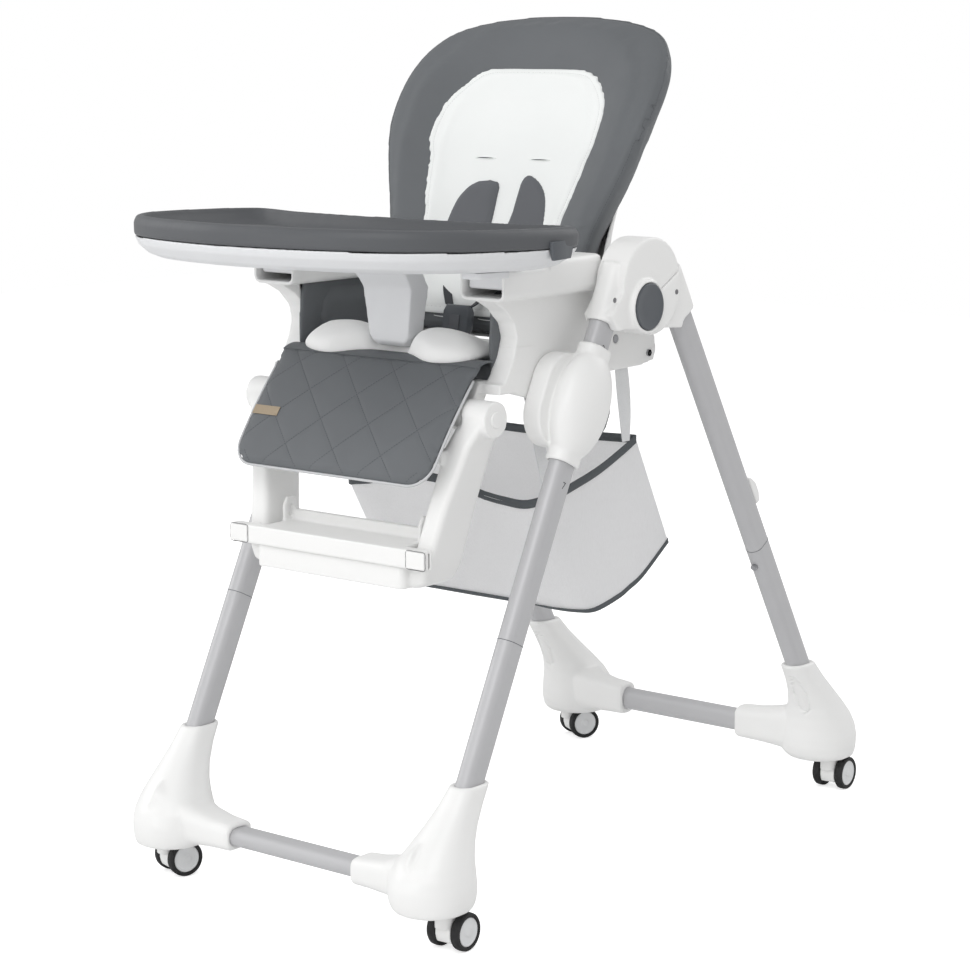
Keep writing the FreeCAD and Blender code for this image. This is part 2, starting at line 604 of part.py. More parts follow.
# ---------------------------------------------------------------- fold hub
def hub():
    """Two moulded halves on a pin: the front one carries the dome and button, the rear one turns."""
    sleeve_wide = S.sleeve_out - S.hub_inner
    sleeve_mid = (S.sleeve_out + S.hub_inner) / 2
    sleeve_deep = S.tube_deep + S.sleeve_wall * 2

    def slab(name, low, high, points):
        return at_pivot(pad(body(name), "YZ", low, high, polygon(points)))

    def disc(name, low, high, y, z, dia):
        return rod(name, low, high, S.hub_y + y, S.hub_z + z, dia)

    def sleeve(name, line, end, top, frame):
        tube = body(name)
        pad(tube, "XY", -end, top, oval(sleeve_mid, line, sleeve_wide, sleeve_deep))
        return frame(tube)

    ring = S.ring_radius
    inner, outer = S.hub_inner, S.hub_outer
    dome = disc("HubDome", inner, outer, S.dome_y, S.dome_z, S.dome_radius * 2)
    core = disc("HubCore", inner, outer, 0, 0, ring * 2)
    collar = disc("HubRing", outer - 1, outer + S.ring_high, 0, 0, ring * 2)
    fill = slab("HubFill", inner, outer, [
        (-ring * 1.6, -ring * 0.8), (-ring * 1.2, -ring * 0.75), (0, -ring * 0.9), (S.dome_y, S.dome_z),
        (S.dome_y - S.dome_radius * 0.8, ring), (-ring * 2.1, -ring * 0.2)])
    front_sleeve = sleeve("HubFrontSleeve", front_line, S.front_sleeve_end, ring, on_front_leg)
    # the rear half owns everything behind and below this wedge
    wedge_y, wedge_z = ring * 4, ring * 2.15
    wedge = slab("HubWedge", inner - 5, outer + 5, [(0, 0), (wedge_y, wedge_z), (wedge_y, -ring * 4),
                                                    (-ring * 0.3, -ring * 4), (-ring * 0.3, -ring)])
    shell = fuse("HubFrontShell", cut("HubFrontOpen", fuse("HubFrontRaw", dome, fill, front_sleeve), wedge),
                 core, collar)
    blade_low, blade_high = hub_middle - S.blade_thick / 2, hub_middle + S.blade_thick / 2
    slot_r = S.blade_radius + S.hub_gap
    slot = slab("HubSlot", blade_low - S.hub_gap, blade_high + S.hub_gap,
                [(-slot_r * 0.8, -slot_r * 0.6), (0, slot_r), (ring * 1.5, slot_r * 1.25), (ring * 2, 0),
                 (ring * 1.5, -ring * 2), (ring * 0.3, -ring * 2)])
    slot_disc = disc("HubSlotDisc", blade_low - S.hub_gap, blade_high + S.hub_gap, 0, 0, slot_r * 2)
    well_floor = outer + S.ring_high + 1 - S.button_thick - S.button_travel
    well = disc("HubWell", well_floor, outer + S.ring_high + 1, 0, 0, S.ring_inner * 2)
    pin_hole = disc("HubPinHole", inner - 1, well_floor + 1, 0, 0, S.hub_pin_dia + S.pin_play * 2)
    bore = body("HubFrontBore")
    pad(bore, "XY", -S.front_sleeve_end - 20, front_top, oval(S.leg_plane, front_line, hole_wide, hole_deep))
    on_front_leg(bore)
    pair("hub_front", cut("HubFront", shell, slot, slot_disc, well, pin_hole, bore))

    rear_dome = disc("HubRearDome", inner, outer, S.dome_y, S.dome_z, S.dome_radius * 2)
    rear_sleeve = sleeve("HubRearSleeve", rear_line, S.rear_sleeve_end, -S.ear_drop, on_rear_leg)
    rear_fill = slab("HubRearFill", inner, S.sleeve_out, [
        (ring * 0.9, -ring * 0.9), (ring * 2.75, -ring * 1.05), (ring * 3.1, -ring * 0.3),
        (ring * 2.2, ring * 1.1), (ring * 0.9, ring * 0.45)])
    rear_wedge = slab("HubRearWedge", inner - 5, outer + 5, [
        (S.hub_gap, -S.hub_gap * 0.5), (wedge_y, wedge_z - S.hub_gap * 1.4), (wedge_y, -ring * 4),
        (ring * 0.4, -ring * 4), (ring * 0.4, -ring)])
    ring_room = disc("HubRingRoom", inner - 5, outer + 5, 0, 0, (ring + S.hub_gap) * 2)
    ear_solid = fuse("HubEarSolid", rear_dome, rear_sleeve, rear_fill)
    ear = cut("HubEar", common("HubEarRaw", ear_solid, rear_wedge), ring_room)
    blade = slab("HubBlade", blade_low, blade_high, [
        (0, -S.blade_radius * 0.8), (ring * 1.5, -S.blade_radius * 0.8), (ring * 1.5, S.blade_radius * 0.8),
        (0, S.blade_radius * 0.8)])
    blade_disc = disc("HubBladeDisc", blade_low, blade_high, 0, 0, S.blade_radius * 2)
    rear_bore = body("HubRearBore")
    pad(rear_bore, "XY", -S.rear_sleeve_end - 40, rear_top,
        oval(S.leg_plane, rear_line, hole_wide, hole_deep))
    on_rear_leg(rear_bore)
    rear_pin_hole = disc("HubRearPinHole", inner - 1, outer, 0, 0, S.hub_pin_dia + S.pin_play * 2)
    pair("hub_rear", cut("HubRear", fuse("HubRearShell", ear, blade, blade_disc), rear_bore, rear_pin_hole))

    pin = disc("HubPin", inner, well_floor, 0, 0, S.hub_pin_dia)
    node("hub_pins", group("HubPins", pin, other_side("HubPinTwin", pin)))
    face = outer + S.ring_high + 1
    button = pad(body("HubButton"), "YZ", face - S.button_thick, face, circle(0, 0, S.button_dia))
    soften(button, 2, lambda edge: edge.CenterOfMass.x > number(face) - 0.01)
    pair("hub_button", at_pivot(button))


def snap_buttons():
    """The spring button that holds the lower rear tube in the upper one."""
    level = -S.rear_seam - S.spigot_long / 2 - 4
    face = rear_line - half_deep
    button = body("Snap")
    pad(button, "XZ", face - S.snap_out, face + S.snap_deep, circle(S.leg_plane, level, S.snap_dia))
    pair("snap_button", on_rear_leg(button))


def tray_hooks():
    """A moulded hook behind each rear leg, where the tray is hung."""
    back = rear_line + half_deep
    hook = body("Hook")
    top, low = -S.hook_down, -S.hook_down - S.hook_long
    half = S.hook_wide / 2
    pad(hook, "YZ", S.leg_plane - half, S.leg_plane + half, polygon([
        (back, top), (back + S.hook_out * 0.5, top - 2), (back + S.hook_out, top - S.hook_long * 0.35),
        (back + S.hook_out, low + S.hook_long * 0.25), (back + S.hook_out * 0.6, low), (back, low)]))
    on_rear_leg(hook)
    node("tray_hooks", group("Hooks", hook, other_side("HookTwin", hook)))


# ---------------------------------------------------------------- slider and height levers
def slider():
    """The housing that carries the seat up and down the front leg."""
    outer = S.slider_inner + S.slider_wide * 2
    egg = doc.addObject("Part::Ellipsoid", "SliderEgg")
    for prop, size in (("Radius1", S.slider_half), ("Radius2", S.slider_wide), ("Radius3", S.slider_deep)):
        setattr(egg, prop, number(size))
        bind(egg, prop, size)
    lean = S.front_lean
    middle_y = S.hub_y + front_line * cosine(lean) - S.slider_mid * sine(lean)
    middle_z = S.hub_z - front_line * sine(lean) - S.slider_mid * cosine(lean)
    place(egg, S.slider_inner + S.slider_wide, middle_y, middle_z, lean, True)
    collar = body("SliderCollar")
    pad(collar, "XY", -S.slider_mid - S.collar_half, -S.slider_mid + S.collar_half,
        oval(S.leg_plane, front_line, S.tube_wide + S.collar_wall * 2, S.tube_deep + S.collar_wall * 2))
    on_front_leg(collar)
    bridge = body("SliderBridge")
    pad(bridge, "YZ", S.side_outer, S.slider_inner + S.bridge_lap,
        oval(front_line - S.bridge_wide / 6, -S.slider_mid, S.bridge_wide, S.bridge_long))
    on_front_leg(bridge)
    bore = body("SliderBore")
    pad(bore, "XY", -S.slider_mid - S.slider_half * 2, -S.slider_mid + S.slider_half * 2,
        oval(S.leg_plane, front_line, S.tube_wide + S.slide_play * 2, S.tube_deep + S.slide_play * 2))
    on_front_leg(bore)
    lever_mid = -S.slider_mid
    back = front_line + S.slider_deep
    lever_x = S.leg_plane + S.lever_aside
    half_room = S.lever_long / 2 + S.slide_play
    lever_room = body("LeverRoom")
    half_slot = S.lever_wide / 2 + S.slide_play
    pad(lever_room, "YZ", lever_x - half_slot, lever_x + half_slot,
        polygon([(back - S.lever_depth - S.lever_travel, lever_mid - half_room),
                 (back + S.lever_out, lever_mid - half_room), (back + S.lever_out, lever_mid + half_room),
                 (back - S.lever_depth - S.lever_travel, lever_mid + half_room)]))
    on_front_leg(lever_room)
    pair("slider", cut("Slider", fuse("SliderSolid", egg, collar, bridge), bore, lever_room))
    lever = body("HeightLever")
    half_long = S.lever_long / 2
    pad(lever, "YZ", lever_x - S.lever_wide / 2, lever_x + S.lever_wide / 2, polygon([
        (back - S.lever_depth, lever_mid - half_long), (back + S.lever_out * 0.4, lever_mid - half_long),
        (back + S.lever_out, lever_mid - half_long / 2), (back + S.lever_out, lever_mid + half_long / 2),
        (back + S.lever_out * 0.4, lever_mid + half_long), (back - S.lever_depth, lever_mid + half_long)]))
    pair("height_lever", on_front_leg(lever))


# ---------------------------------------------------------------- seat
def seat_side():
    """The moulded side of the seat, with the hollow armrest that the tray's tongue runs in."""
    outer, inner = S.side_outer, S.side_outer - S.side_thick
    under = S.arm_box_low
    front = [(-238, under), (-212, 728), (-197, 712), (-192, 695), (-198, 672), (-212, 648), (-226, 630)]
    lug_low = S.foot_pivot_z + S.foot_head_dia / 2 + 4
    plate = body("SidePlate")
    rear = [(-150, 616), (-90, 616), (-8, 636), (60, 637), (90, 642), (96, 655), (88, 690), (60, 716),
            (16, 742), (-20, under)]
    pad(plate, "YZ", inner, outer, polygon(front + [(-232, lug_low), (-205, lug_low)] + rear))
    rim = body("SideRim")
    band = [(y + 13, z - (4 if z > 700 else -1)) for y, z in front[1:]]
    pad(rim, "YZ", outer - S.flange_wide, outer, polygon(
        [(-238, under)] + front[1:] + [(-232, lug_low), (-205, lug_low)] + band[::-1] + [(-205, under)]))
    arm = body("ArmBox")
    pad(arm, "XZ", S.arm_front, S.arm_step_y, soft_box(S.arm_box_inner, S.arm_box_outer, under, arm_deck, 8))
    hump = body("ArmHump")
    pad(hump, "XZ", S.arm_step_y, S.arm_rear, soft_box(S.arm_box_inner, S.arm_box_outer, under, S.arm_top, 8))
    hollow = body("ArmHollow")
    pad(hollow, "XZ", S.arm_front - 1, S.arm_rear - S.box_wall,
        soft_box(S.arm_box_inner + S.box_wall, S.arm_box_outer - S.box_wall, under + S.box_wall,
                 arm_deck - S.box_wall, 5))
    slot = box("ArmSlot", web_x - S.web_wide / 2 - S.rail_clear, web_x + S.web_wide / 2 + S.rail_clear,
               S.arm_front - 1, S.arm_step_y, arm_deck - S.box_wall * 2, arm_deck + 1)
    lug = body("PivotLug")
    pad(lug, "YZ", S.head_inner - S.arm_gap - S.lug_thick, S.head_inner - S.arm_gap, polygon([
        (S.foot_pivot_y - 15, S.foot_pivot_z - 10), (S.foot_pivot_y, S.foot_pivot_z - 20),
        (S.foot_pivot_y + 17, S.foot_pivot_z - 10), (-207, lug_low + 4), (-205, lug_low + 14),
        (-224, lug_low + 14),
        (S.foot_pivot_y + 10, S.foot_pivot_z + 18), (S.foot_pivot_y - 10, S.foot_pivot_z + 18),
        (S.foot_pivot_y - 17, S.foot_pivot_z + 6)]))
    lug_tie = box("LugTie", S.head_inner - S.arm_gap - S.lug_thick, outer, -224, -206, lug_low, lug_low + 12)
    pin = rod("FootPinHole", S.head_inner - 40, S.head_outer, S.foot_pivot_y, S.foot_pivot_z, S.foot_pin_dia)
    back_hole = rod("BackPinHole", inner - 20, outer + 1, S.back_pin_y, S.back_pin_z,
                    S.back_pin_dia + S.pin_play * 2)
    pair("seat_side", cut("SeatSide", fuse("SideSolid", plate, rim, arm, hump, lug, lug_tie),
                          hollow, slot, pin, back_hole))


def seat_pan():
    """The moulded pan under the cushion, screwed between the two sides."""
    half = S.side_outer - S.side_thick
    low, wall = S.seat_floor, S.seat_wall
    pan = body("SeatPan")
    front, rear = -204, S.back_pin_y - 24
    pad(pan, "YZ", -half, half, polygon([
        (front, low), (rear, low), (rear, low + wall * 3), (rear - wall, low + wall * 3),
        (rear - wall, low + wall), (front, low + wall)]))
    cheek = polygon([(front + 20, low), (rear, low), (rear, low + 40), (front + 20, low + 22)])
    pad(pan, "YZ", -half, -half + wall, cheek)
    pad(pan, "YZ", half - wall, half, cheek)
    node("seat_pan", pan)


def seat_pad():
    """The cushion on the pan, with a wing up each side of the seat."""
    half = S.side_outer - S.side_thick - S.seat_wall - S.soft_gap
    low = S.seat_floor + S.seat_wall + S.soft_gap
    top = low + S.seat_pad_thick
    front, rear = -203, S.back_foot_y - 9
    rim_inner = S.side_outer - S.flange_wide - S.soft_gap
    cushion = body("SeatCushion")
    pad(cushion, "XY", low, top, soft_box(-rim_inner, rim_inner, front, rear, 12))
    rear_cushion = body("SeatCushionRear")
    pad(rear_cushion, "XY", low, top, soft_box(-half, half, front + 24, rear, 12))
    wing_inner = rim_inner - S.wing_thick
    profile = [(front + 16, low), (rear, low), (rear, S.arm_box_low - 3), (front + 44, S.arm_box_low - 3),
               (front + 30, 715), (front + 27, 695), (front + 32, 672), (front + 22, 655)]
    wings = []
    for name, a, b in (("SeatWingA", wing_inner, rim_inner), ("SeatWingB", -rim_inner, -wing_inner)):
        wings.append(pad(body(name), "YZ", a, b, polygon(profile)))
    node("seat_pad", fuse("SeatPad", cushion, rear_cushion, *wings))


# ---------------------------------------------------------------- backrest
def back_outline(level, share, lift=0.0):
    """The backrest's outline: straight-sided below, round above; share scales it about its middle."""
    high = number(S.back_high)
    half = number(S.back_half)
    sides = [(half * 0.765, -20.0), (half * 0.78, 60.0), (half * 0.81, 120.0), (half * 0.895, 180.0),
             (half * 0.968, 230.0), (half, 280.0), (half * 0.98, 320.0), (half * 0.86, high - 42),
             (half * 0.60, high - 14), (half * 0.28, high - 2)]
    right = [V(x * share, level, lift + (z - 180) * share + 180) for x, z in sides]
    top = V(0, level, lift + (high - 180) * share + 180)
    left = [V(-p.x, level, p.z) for p in reversed(right)]
    curve = Part.BSplineCurve()
    curve.interpolate(right + [top] + left)
    foot = Part.LineSegment(left[-1], right[0])
    return Part.Wire([curve.toShape(), foot.toShape()])


def backrest():
    """The tub-shaped back shell with its hinge lugs, and the cushion it carries."""
    deep, wall, gap = number(S.back_shell_deep), number(S.shell_wall), number(S.soft_gap)
    front = number(S.back_pad_thick) + gap
    outer = Part.makeLoft([back_outline(front, 0.975), back_outline(front + deep * 0.5, 0.955),
                           back_outline(front + deep, 0.86)], True)
    hollow = Part.makeLoft([back_outline(front - 1, 0.955), back_outline(front + deep * 0.5, 0.925),
                            back_outline(front + deep - wall, 0.82)], True)
    tub = shaped("BackTub", outer.cut(hollow))
    lean = S.back_lean
    place(tub, 0, S.back_foot_y, S.back_foot_z, lean, True)
    side = S.side_outer - S.side_thick - S.arm_gap
    lug_thick = 34
    keep_low = box("BackKeep", -side, side, -80, 200, S.back_foot_z - 60, S.back_foot_z + 110)
    keep_high = box("BackKeepHigh", -400, 400, -80, 400, S.back_foot_z + 110, S.back_foot_z + 600)
    trimmed = common("BackTrim", tub, fuse("BackKeepAll", keep_low, keep_high))
    lugs = []
    for name, a, b in (("BackLugA", side - lug_thick, side), ("BackLugB", -side, -side + lug_thick)):
        lug = body(name)
        pad(lug, "YZ", a, b, polygon([
            (S.back_pin_y - 14, S.back_pin_z - 10), (S.back_pin_y - 4, S.back_pin_z - 15),
            (S.back_pin_y + 12, S.back_pin_z - 10), (S.back_pin_y + 22, S.back_pin_z + 14),
            (S.back_pin_y + 32, S.back_pin_z + 44), (S.back_pin_y + 6, S.back_pin_z + 44),
            (S.back_pin_y - 13, S.back_pin_z + 12)]))
        lugs.append(lug)
    hole = rod("BackLugHole", -side - 5, side + 5, S.back_pin_y, S.back_pin_z,
               S.back_pin_dia + S.pin_play * 2)
    node("backrest_shell", cut("BackShell", fuse("BackSolid", trimmed, *lugs), hole))

    cushion = Part.makeLoft([back_outline(0, 0.985), back_outline(number(S.back_pad_thick) * 0.5, 1.0),
                             back_outline(number(S.back_pad_thick), 0.985)], True)
    back_pad = shaped("BackPad", cushion)
    place(back_pad, 0, S.back_foot_y, S.back_foot_z, lean, True)
    node("back_pad", back_pad)

    handle = body("ReclineHandle")
    rear = S.back_pad_thick + S.soft_gap + S.back_shell_deep + S.soft_gap
    pad(handle, "XZ", rear, rear + S.handle_thick, soft_box(-S.handle_wide / 2, S.handle_wide / 2,
                                                            S.handle_at, S.handle_at + S.handle_high, 8))
    place(handle, 0, S.back_foot_y, S.back_foot_z, lean, True)
    node("recline_handle", handle)


def pivot_pins():
    """The steel pins of the backrest and the footrest, fixed in the seat sides."""
    foot = rod("FootPin", S.head_inner - S.lug_thick, S.head_outer - S.cap_thick, S.foot_pivot_y,
               S.foot_pivot_z, S.foot_pin_dia)
    back = rod("BackPin", S.side_outer - S.side_thick - S.back_pin_in, S.side_outer, S.back_pin_y,
               S.back_pin_z, S.back_pin_dia)
    node("pivot_pins", group("PivotPins", foot, other_side("FootPinTwin", foot), back,
                             other_side("BackPinTwin", back)))


# ---------------------------------------------------------------- tray
# the right half of the tray's outline from the front round to the rear, as shares of the half
# width and of the half depth
TRAY_EDGE = [(0.257, -0.96), (0.529, -0.844), (0.776, -0.595), (0.93, -0.22), (0.985, 0.179),
             (1.0, 0.561), (0.978, 0.827), (0.934, 0.931), (0.86, 0.931), (0.625, 0.803), (0.331, 0.723)]
TRAY_REAR = 0.688


def tray_spot(share_x, share_y, inset, level):
    """A point of the tray in its own frame: the origin is at its hinge line, on its underside."""
    half_x = number(S.tray_half) - inset
    half_y = number(S.tray_rear - S.tray_front) / 2 - inset
    middle = number(S.tray_front + S.tray_rear) / 2 - number(S.tray_hinge)
    return V(share_x * half_x, middle + share_y * half_y, level)


def tray_outline(level, inset):
    """The tray's smooth outline at a height over its underside, drawn in by the inset all round."""
    right = [tray_spot(x, y, inset, level) for x, y in TRAY_EDGE]
    left = [V(-p.x, p.y, p.z) for p in reversed(right)]
    front, rear = tray_spot(0, -1, inset, level), tray_spot(0, TRAY_REAR, inset, level)
    curve = Part.BSplineCurve()
    curve.interpolate(Points=[front] + right + [rear] + left, PeriodicFlag=True)
    return Part.Wire([curve.toShape()])


def tray_shell(*sections):
    """A solid through tray outlines given as (height, inset)."""
    return Part.makeLoft([tray_outline(level, inset) for level, inset in sections], True, True)


def on_tray(obj, drop=0):
    """Stands a piece on the tray's frame, which tips up a little towards the front."""
    return place(obj, 0, S.tray_hinge, S.tray_low - drop, S.tray_tilt, True)


def tray():
    """The tray's white base with its two runners and the centre post, and the grey top tray on it."""
    wall = number(S.tray_wall)
    part = number(S.tray_part - S.tray_low)
    sole = [(0, 32), (5, 18), (15, 6), (part, 1)]
    outside = tray_shell(*sole)
    inside = tray_shell((wall, 36), (5 + wall, 23), (15 + wall, 10), (part + 1, 5))
    bores = []
    for share_x, share_y in TRAY_EDGE[1:6]:
        for side in (1, -1):
            rim_spot = tray_spot(share_x * side, share_y, 0, part / 2)
            inward = V(-share_x * side, -share_y, 0)
            bores.append(Part.makeCylinder(number(S.base_hole) / 2, 40, rim_spot, inward))
    bowl = on_tray(shaped("TrayBowl", outside.cut(inside).cut(bores)))
    runners = []
    for side in (1, -1):
        name = "TrayRail%s" % ("A" if side == 1 else "B")
        half = (S.arm_box_outer - S.arm_box_inner) / 2 - S.box_wall * 1.7 - S.rail_clear
        middle = web_x * side
        top = arm_deck - S.box_wall - S.rail_clear
        runners.append(box(name + "Tongue", middle - half, middle + half, S.arm_front + 8, S.tongue_end,
                           top - S.tongue_high, top))
        runners.append(box(name + "Web", middle - S.web_wide / 2, middle + S.web_wide / 2, S.arm_front + 8,
                           S.arm_step_y - S.rail_clear * 2, top - 2, S.tray_low + S.tray_wall))
    node("tray_base", fuse("TrayBase", bowl, *runners))

    top_y, low_y = S.post_y - S.post_lean, S.post_y
    half_deep_post = S.post_deep / 2
    post_root = S.tray_low + part / 2
    side_view = [(top_y - half_deep_post, post_root), (top_y + half_deep_post, post_root)]
    turns = ((0, S.tray_low - S.post_lean), (3, S.post_bottom + 6), (9, S.post_bottom))
    for inset, level in turns:
        side_view.append((low_y + half_deep_post - inset, level))
    for inset, level in reversed(turns):
        side_view.append((low_y - half_deep_post + inset, level))
    stem = pad(body("PostStem"), "YZ", -S.post_top_wide / 2, S.post_top_wide / 2, polygon(side_view))
    top_half, low_half = S.post_top_wide / 2, S.post_low_wide / 2
    front_view = [(-top_half, S.tray_low), (-top_half, post_root), (top_half, post_root),
                  (top_half, S.tray_low), (low_half, S.post_bottom + 12), (low_half - 10, S.post_bottom),
                  (-low_half + 10, S.post_bottom), (-low_half, S.post_bottom + 12)]
    crotch = pad(body("CrotchPost"), "XZ", S.tray_front, 0, polygon(front_view))
    sole_cut = on_tray(shaped("PostSole", tray_shell(*sole)), S.soft_gap)
    node("crotch_post", cut("PostCut", common("Post", stem, crotch), sole_cut))

    base = part + number(S.soft_gap)
    rim, floor = number(S.tray_rim - S.tray_low), number(S.tray_floor - S.tray_low)
    dish = tray_shell((base, 2), (base + 3, 0.5), (rim - 9, 0), (rim - 2, 3), (rim, 8))
    scoop = tray_shell((floor, 30), (floor + 5, 20), (rim - 6, 14), (rim + 1, 11))
    under = tray_shell((base - 1, 12), (floor - wall, 14))
    node("tray_top", on_tray(shaped("TrayTop", dish.cut(scoop).cut(under))))

    release = body("TrayRelease")
    pad(release, "XY", S.release_low - S.tray_low, -S.soft_gap,
        soft_box(S.release_inner, S.release_outer, S.release_front, S.release_rear, 6))
    pair("tray_release", on_tray(release))


# ---------------------------------------------------------------- footrest
def footrest():
    """The hinged footrest frame: two arms running down from the pivot heads into a cross bar."""
    arm = body("FootArm")
    loft(arm, "XY", [
        (S.foot_bar_low, soft_box(98, 126, -311, -262, 8)),
        (S.foot_bar_low + 6, soft_box(104, 138, -315, -254, 8)),
        (S.foot_bar_low + 20, soft_box(114, 143, -316, -248, 8)),
        (S.step_low, soft_box(117, 145, -314, -246, 8)), (S.foot_knee, soft_box(128, 157, -298, -234, 8)),
        (S.foot_pivot_z - S.foot_shoulder, soft_box(138, 174, -278, -224, 8)),
        (S.foot_pivot_z, soft_box(S.head_inner, S.head_outer, -266, -224, 8))], ruled=True)
    head = rod("FootHead", S.head_inner, S.head_outer, S.foot_pivot_y, S.foot_pivot_z, S.foot_head_dia)
    ledge = body("CalfLedge")
    pad(ledge, "YZ", 104, 131, polygon([(-308, 535), (-262, 598), (-262, 575), (-282, 545), (-300, 530)]))
    ledge_tie = box("CalfLedgeTie", 104, 145, -290, -268, 552, 568)
    pin = rod("FootHole", S.head_inner - 1, S.head_outer - S.cap_thick, S.foot_pivot_y, S.foot_pivot_z,
              S.foot_pin_dia + S.pin_play * 2)
    bar = body("FootBar")
    pad(bar, "XY", S.foot_bar_low, S.step_low - S.bar_gap, soft_box(-118, 118, S.step_front + 5, -262, 8))
    side = fuse("FootSide", arm, head, ledge, ledge_tie)
    frame = fuse("FootSolid", side, other_side("FootSideTwin", side), bar)
    lug_room = rod("LugRoom", S.head_inner - 60, S.head_inner, S.foot_pivot_y, S.foot_pivot_z, S.lug_room)
    room_half = S.pad_half + S.soft_gap
    room = body("CalfRoom")
    pad(room, "XY", -S.pad_thick - S.board_thick, 60,
        soft_box(-room_half, room_half, -S.soft_gap, S.pad_long + S.soft_gap, S.pad_corner))
    place(room, 0, S.pad_foot_y, S.pad_foot_z, S.pad_lean)
    node("footrest_frame", cut("FootFrame", frame, pin, other_side("FootHoleTwin", pin), lug_room,
                               other_side("LugRoomTwin", lug_room), room))

    board = body("CalfBoard")
    pad(board, "XY", -S.pad_thick - S.board_thick, -S.pad_thick - S.soft_gap,
        soft_box(-S.pad_half + S.board_inset, S.pad_half - S.board_inset, S.board_inset, S.pad_long - 4,
                 S.pad_corner - S.board_inset))
    place(board, 0, S.pad_foot_y, S.pad_foot_z, S.pad_lean)
    notches = []
    for name, a, b in (("CalfNotchA", S.calf_notch, S.pad_half + 5),
                       ("CalfNotchB", -S.pad_half - 5, -S.calf_notch)):
        notch = body(name)
        pad(notch, "XY", -30, 10, soft_box(a, b, S.pad_long - S.notch_long, S.pad_long + 10, 4))
        notches.append(place(notch, 0, S.pad_foot_y, S.pad_foot_z, S.pad_lean))
    node("calf_board", cut("CalfBoardCut", board, *notches))
    cushion = body("CalfPad")
    pad(cushion, "XY", -S.pad_thick, 0, soft_box(-S.pad_half, S.pad_half, 0, S.pad_long, S.pad_corner))
    place(cushion, 0, S.pad_foot_y, S.pad_foot_z, S.pad_lean)
    node("calf_pad", cut("CalfPadCut", cushion, *notches))


def step():
    """The foot step: a wide front board, a narrower plate between the arms, and a rear rail."""
    low, top = S.step_low, S.step_top
    tread = body("Tread")
    arm_front = S.step_arm_front
    pad(tread, "XY", low, top, soft_box(-S.step_half, S.step_half, S.step_front, arm_front, 6))
    plate = body("TreadPlate")
    pad(plate, "XY", top - 8, top, soft_box(-S.plate_half, S.plate_half, arm_front - 5, S.plate_rear, 4))
    rail = body("TreadRail")
    pad(rail, "XY", top - 13, top + 14,
        soft_box(-S.plate_half, S.plate_half, S.plate_rear - 8, S.plate_rear, 3))
    ends = []
    for side in (1, -1):
        name = "RailEnd%s" % ("A" if side == 1 else "B")
        outer = S.plate_half * side
        inner = (S.plate_half - 5) * side
        near, far = min(outer, inner, key=number), max(outer, inner, key=number)
        bracket = body(name)
        pad(bracket, "YZ", near, far, polygon([
            (S.plate_rear - 22, top - 8), (S.plate_rear, top - 8), (S.plate_rear, top + 30),
            (S.plate_rear - 16, top + 30), (S.plate_rear - 22, top + 20)]))
        pocket(bracket, "YZ", near - 1, far + 1, polygon([
            (S.plate_rear - 14, top + 6), (S.plate_rear - 6, top + 6), (S.plate_rear - 6, top + 20),
            (S.plate_rear - 14, top + 20)]))
        ends.append(bracket)
    well_rear = S.step_front + S.button_deep + S.press_travel
    wells = []
    for name, a, b in (("ButtonWellA", S.button_inner, S.button_outer),
                       ("ButtonWellB", -S.button_outer, -S.button_inner)):
        wells.append(box(name, a - S.slide_play, b + S.slide_play, S.step_front - 1, well_rear,
                         low + 1 - S.slide_play, top - 1 + S.slide_play))
    node("step", cut("Step", fuse("StepSolid", tread, plate, rail, *ends), *wells))
    button = box("StepButton", S.button_inner, S.button_outer, S.step_front - 1, S.step_front + S.button_deep,
                 low + 1, top - 1)
    pair("step_button", button)


# ---------------------------------------------------------------- soft goods
def basket():
    """The open mesh basket under the seat, hung by webbing straps from the seat sides."""
    half = S.basket_half
    cloth = S.cloth
    bag = body("Basket")
    front, front_low, rear_low, rear = (-228, 508), (-27, 336), (150, 397), (90, 543)
    pad(bag, "YZ", -half, half, polygon([front, front_low, rear_low, rear, (0, 512), (-90, 500)]))
    pocket(bag, "YZ", -half + cloth, half - cloth, polygon([
        (-228 + 5, 509), (-26, 339.5), (146.5, 399), (87, 544), (60, 600), (-200, 600)]))
    node("basket", bag)
    straps = []
    half_width = S.strap_wide / 2
    out = half + S.strap_thick + S.soft_gap
    for name, mid_y, low, high in (("BasketStrapRear", 71, 520, 637), ("BasketStrapFront", -186, 488, 616)):
        band = body(name)
        pad(band, "YZ", half + S.soft_gap, out, polygon([
            (mid_y - half_width, low), (mid_y + half_width, low), (mid_y + half_width, high),
            (mid_y - half_width, high)]))
        straps += [band, other_side(name + "Twin", band)]
    node("basket_straps", group("BasketStraps", *straps))


def soft_fittings():
    """The padded liner on the backrest, the shoulder pads of the harness, and its buckle."""
    gap = number(S.soft_gap)
    liner = body("Liner")
    pad(liner, "XZ", -S.liner_thick - gap, -gap, polygon([
        (-86, 20), (86, 20), (92, 90), (88, 150), (98, 210), (96, 290), (72, 336), (0, 344), (-72, 336),
        (-96, 290), (-98, 210), (-88, 150), (-92, 90)]))
    place(liner, 0, S.back_foot_y, S.back_foot_z, S.back_lean, True)
    node("back_liner", liner)
    pads = []
    for name, a, b in (("ShoulderA", 22, 62), ("ShoulderB", -62, -22)):
        front = -S.liner_thick - gap * 2
        shoulder = body(name)
        pad(shoulder, "XZ", front - 9, front, soft_box(a, b, 70, 216, 12))
        pads.append(place(shoulder, 0, S.back_foot_y, S.back_foot_z, S.back_lean, True))
    node("harness", group("Harness", *pads))
    latch = body("Buckle")
    pad(latch, "XZ", S.buckle_y - 8, S.buckle_y + 8, soft_box(-24, 24, S.buckle_z - 30, S.buckle_z + 22, 8))
    node("buckle", latch)


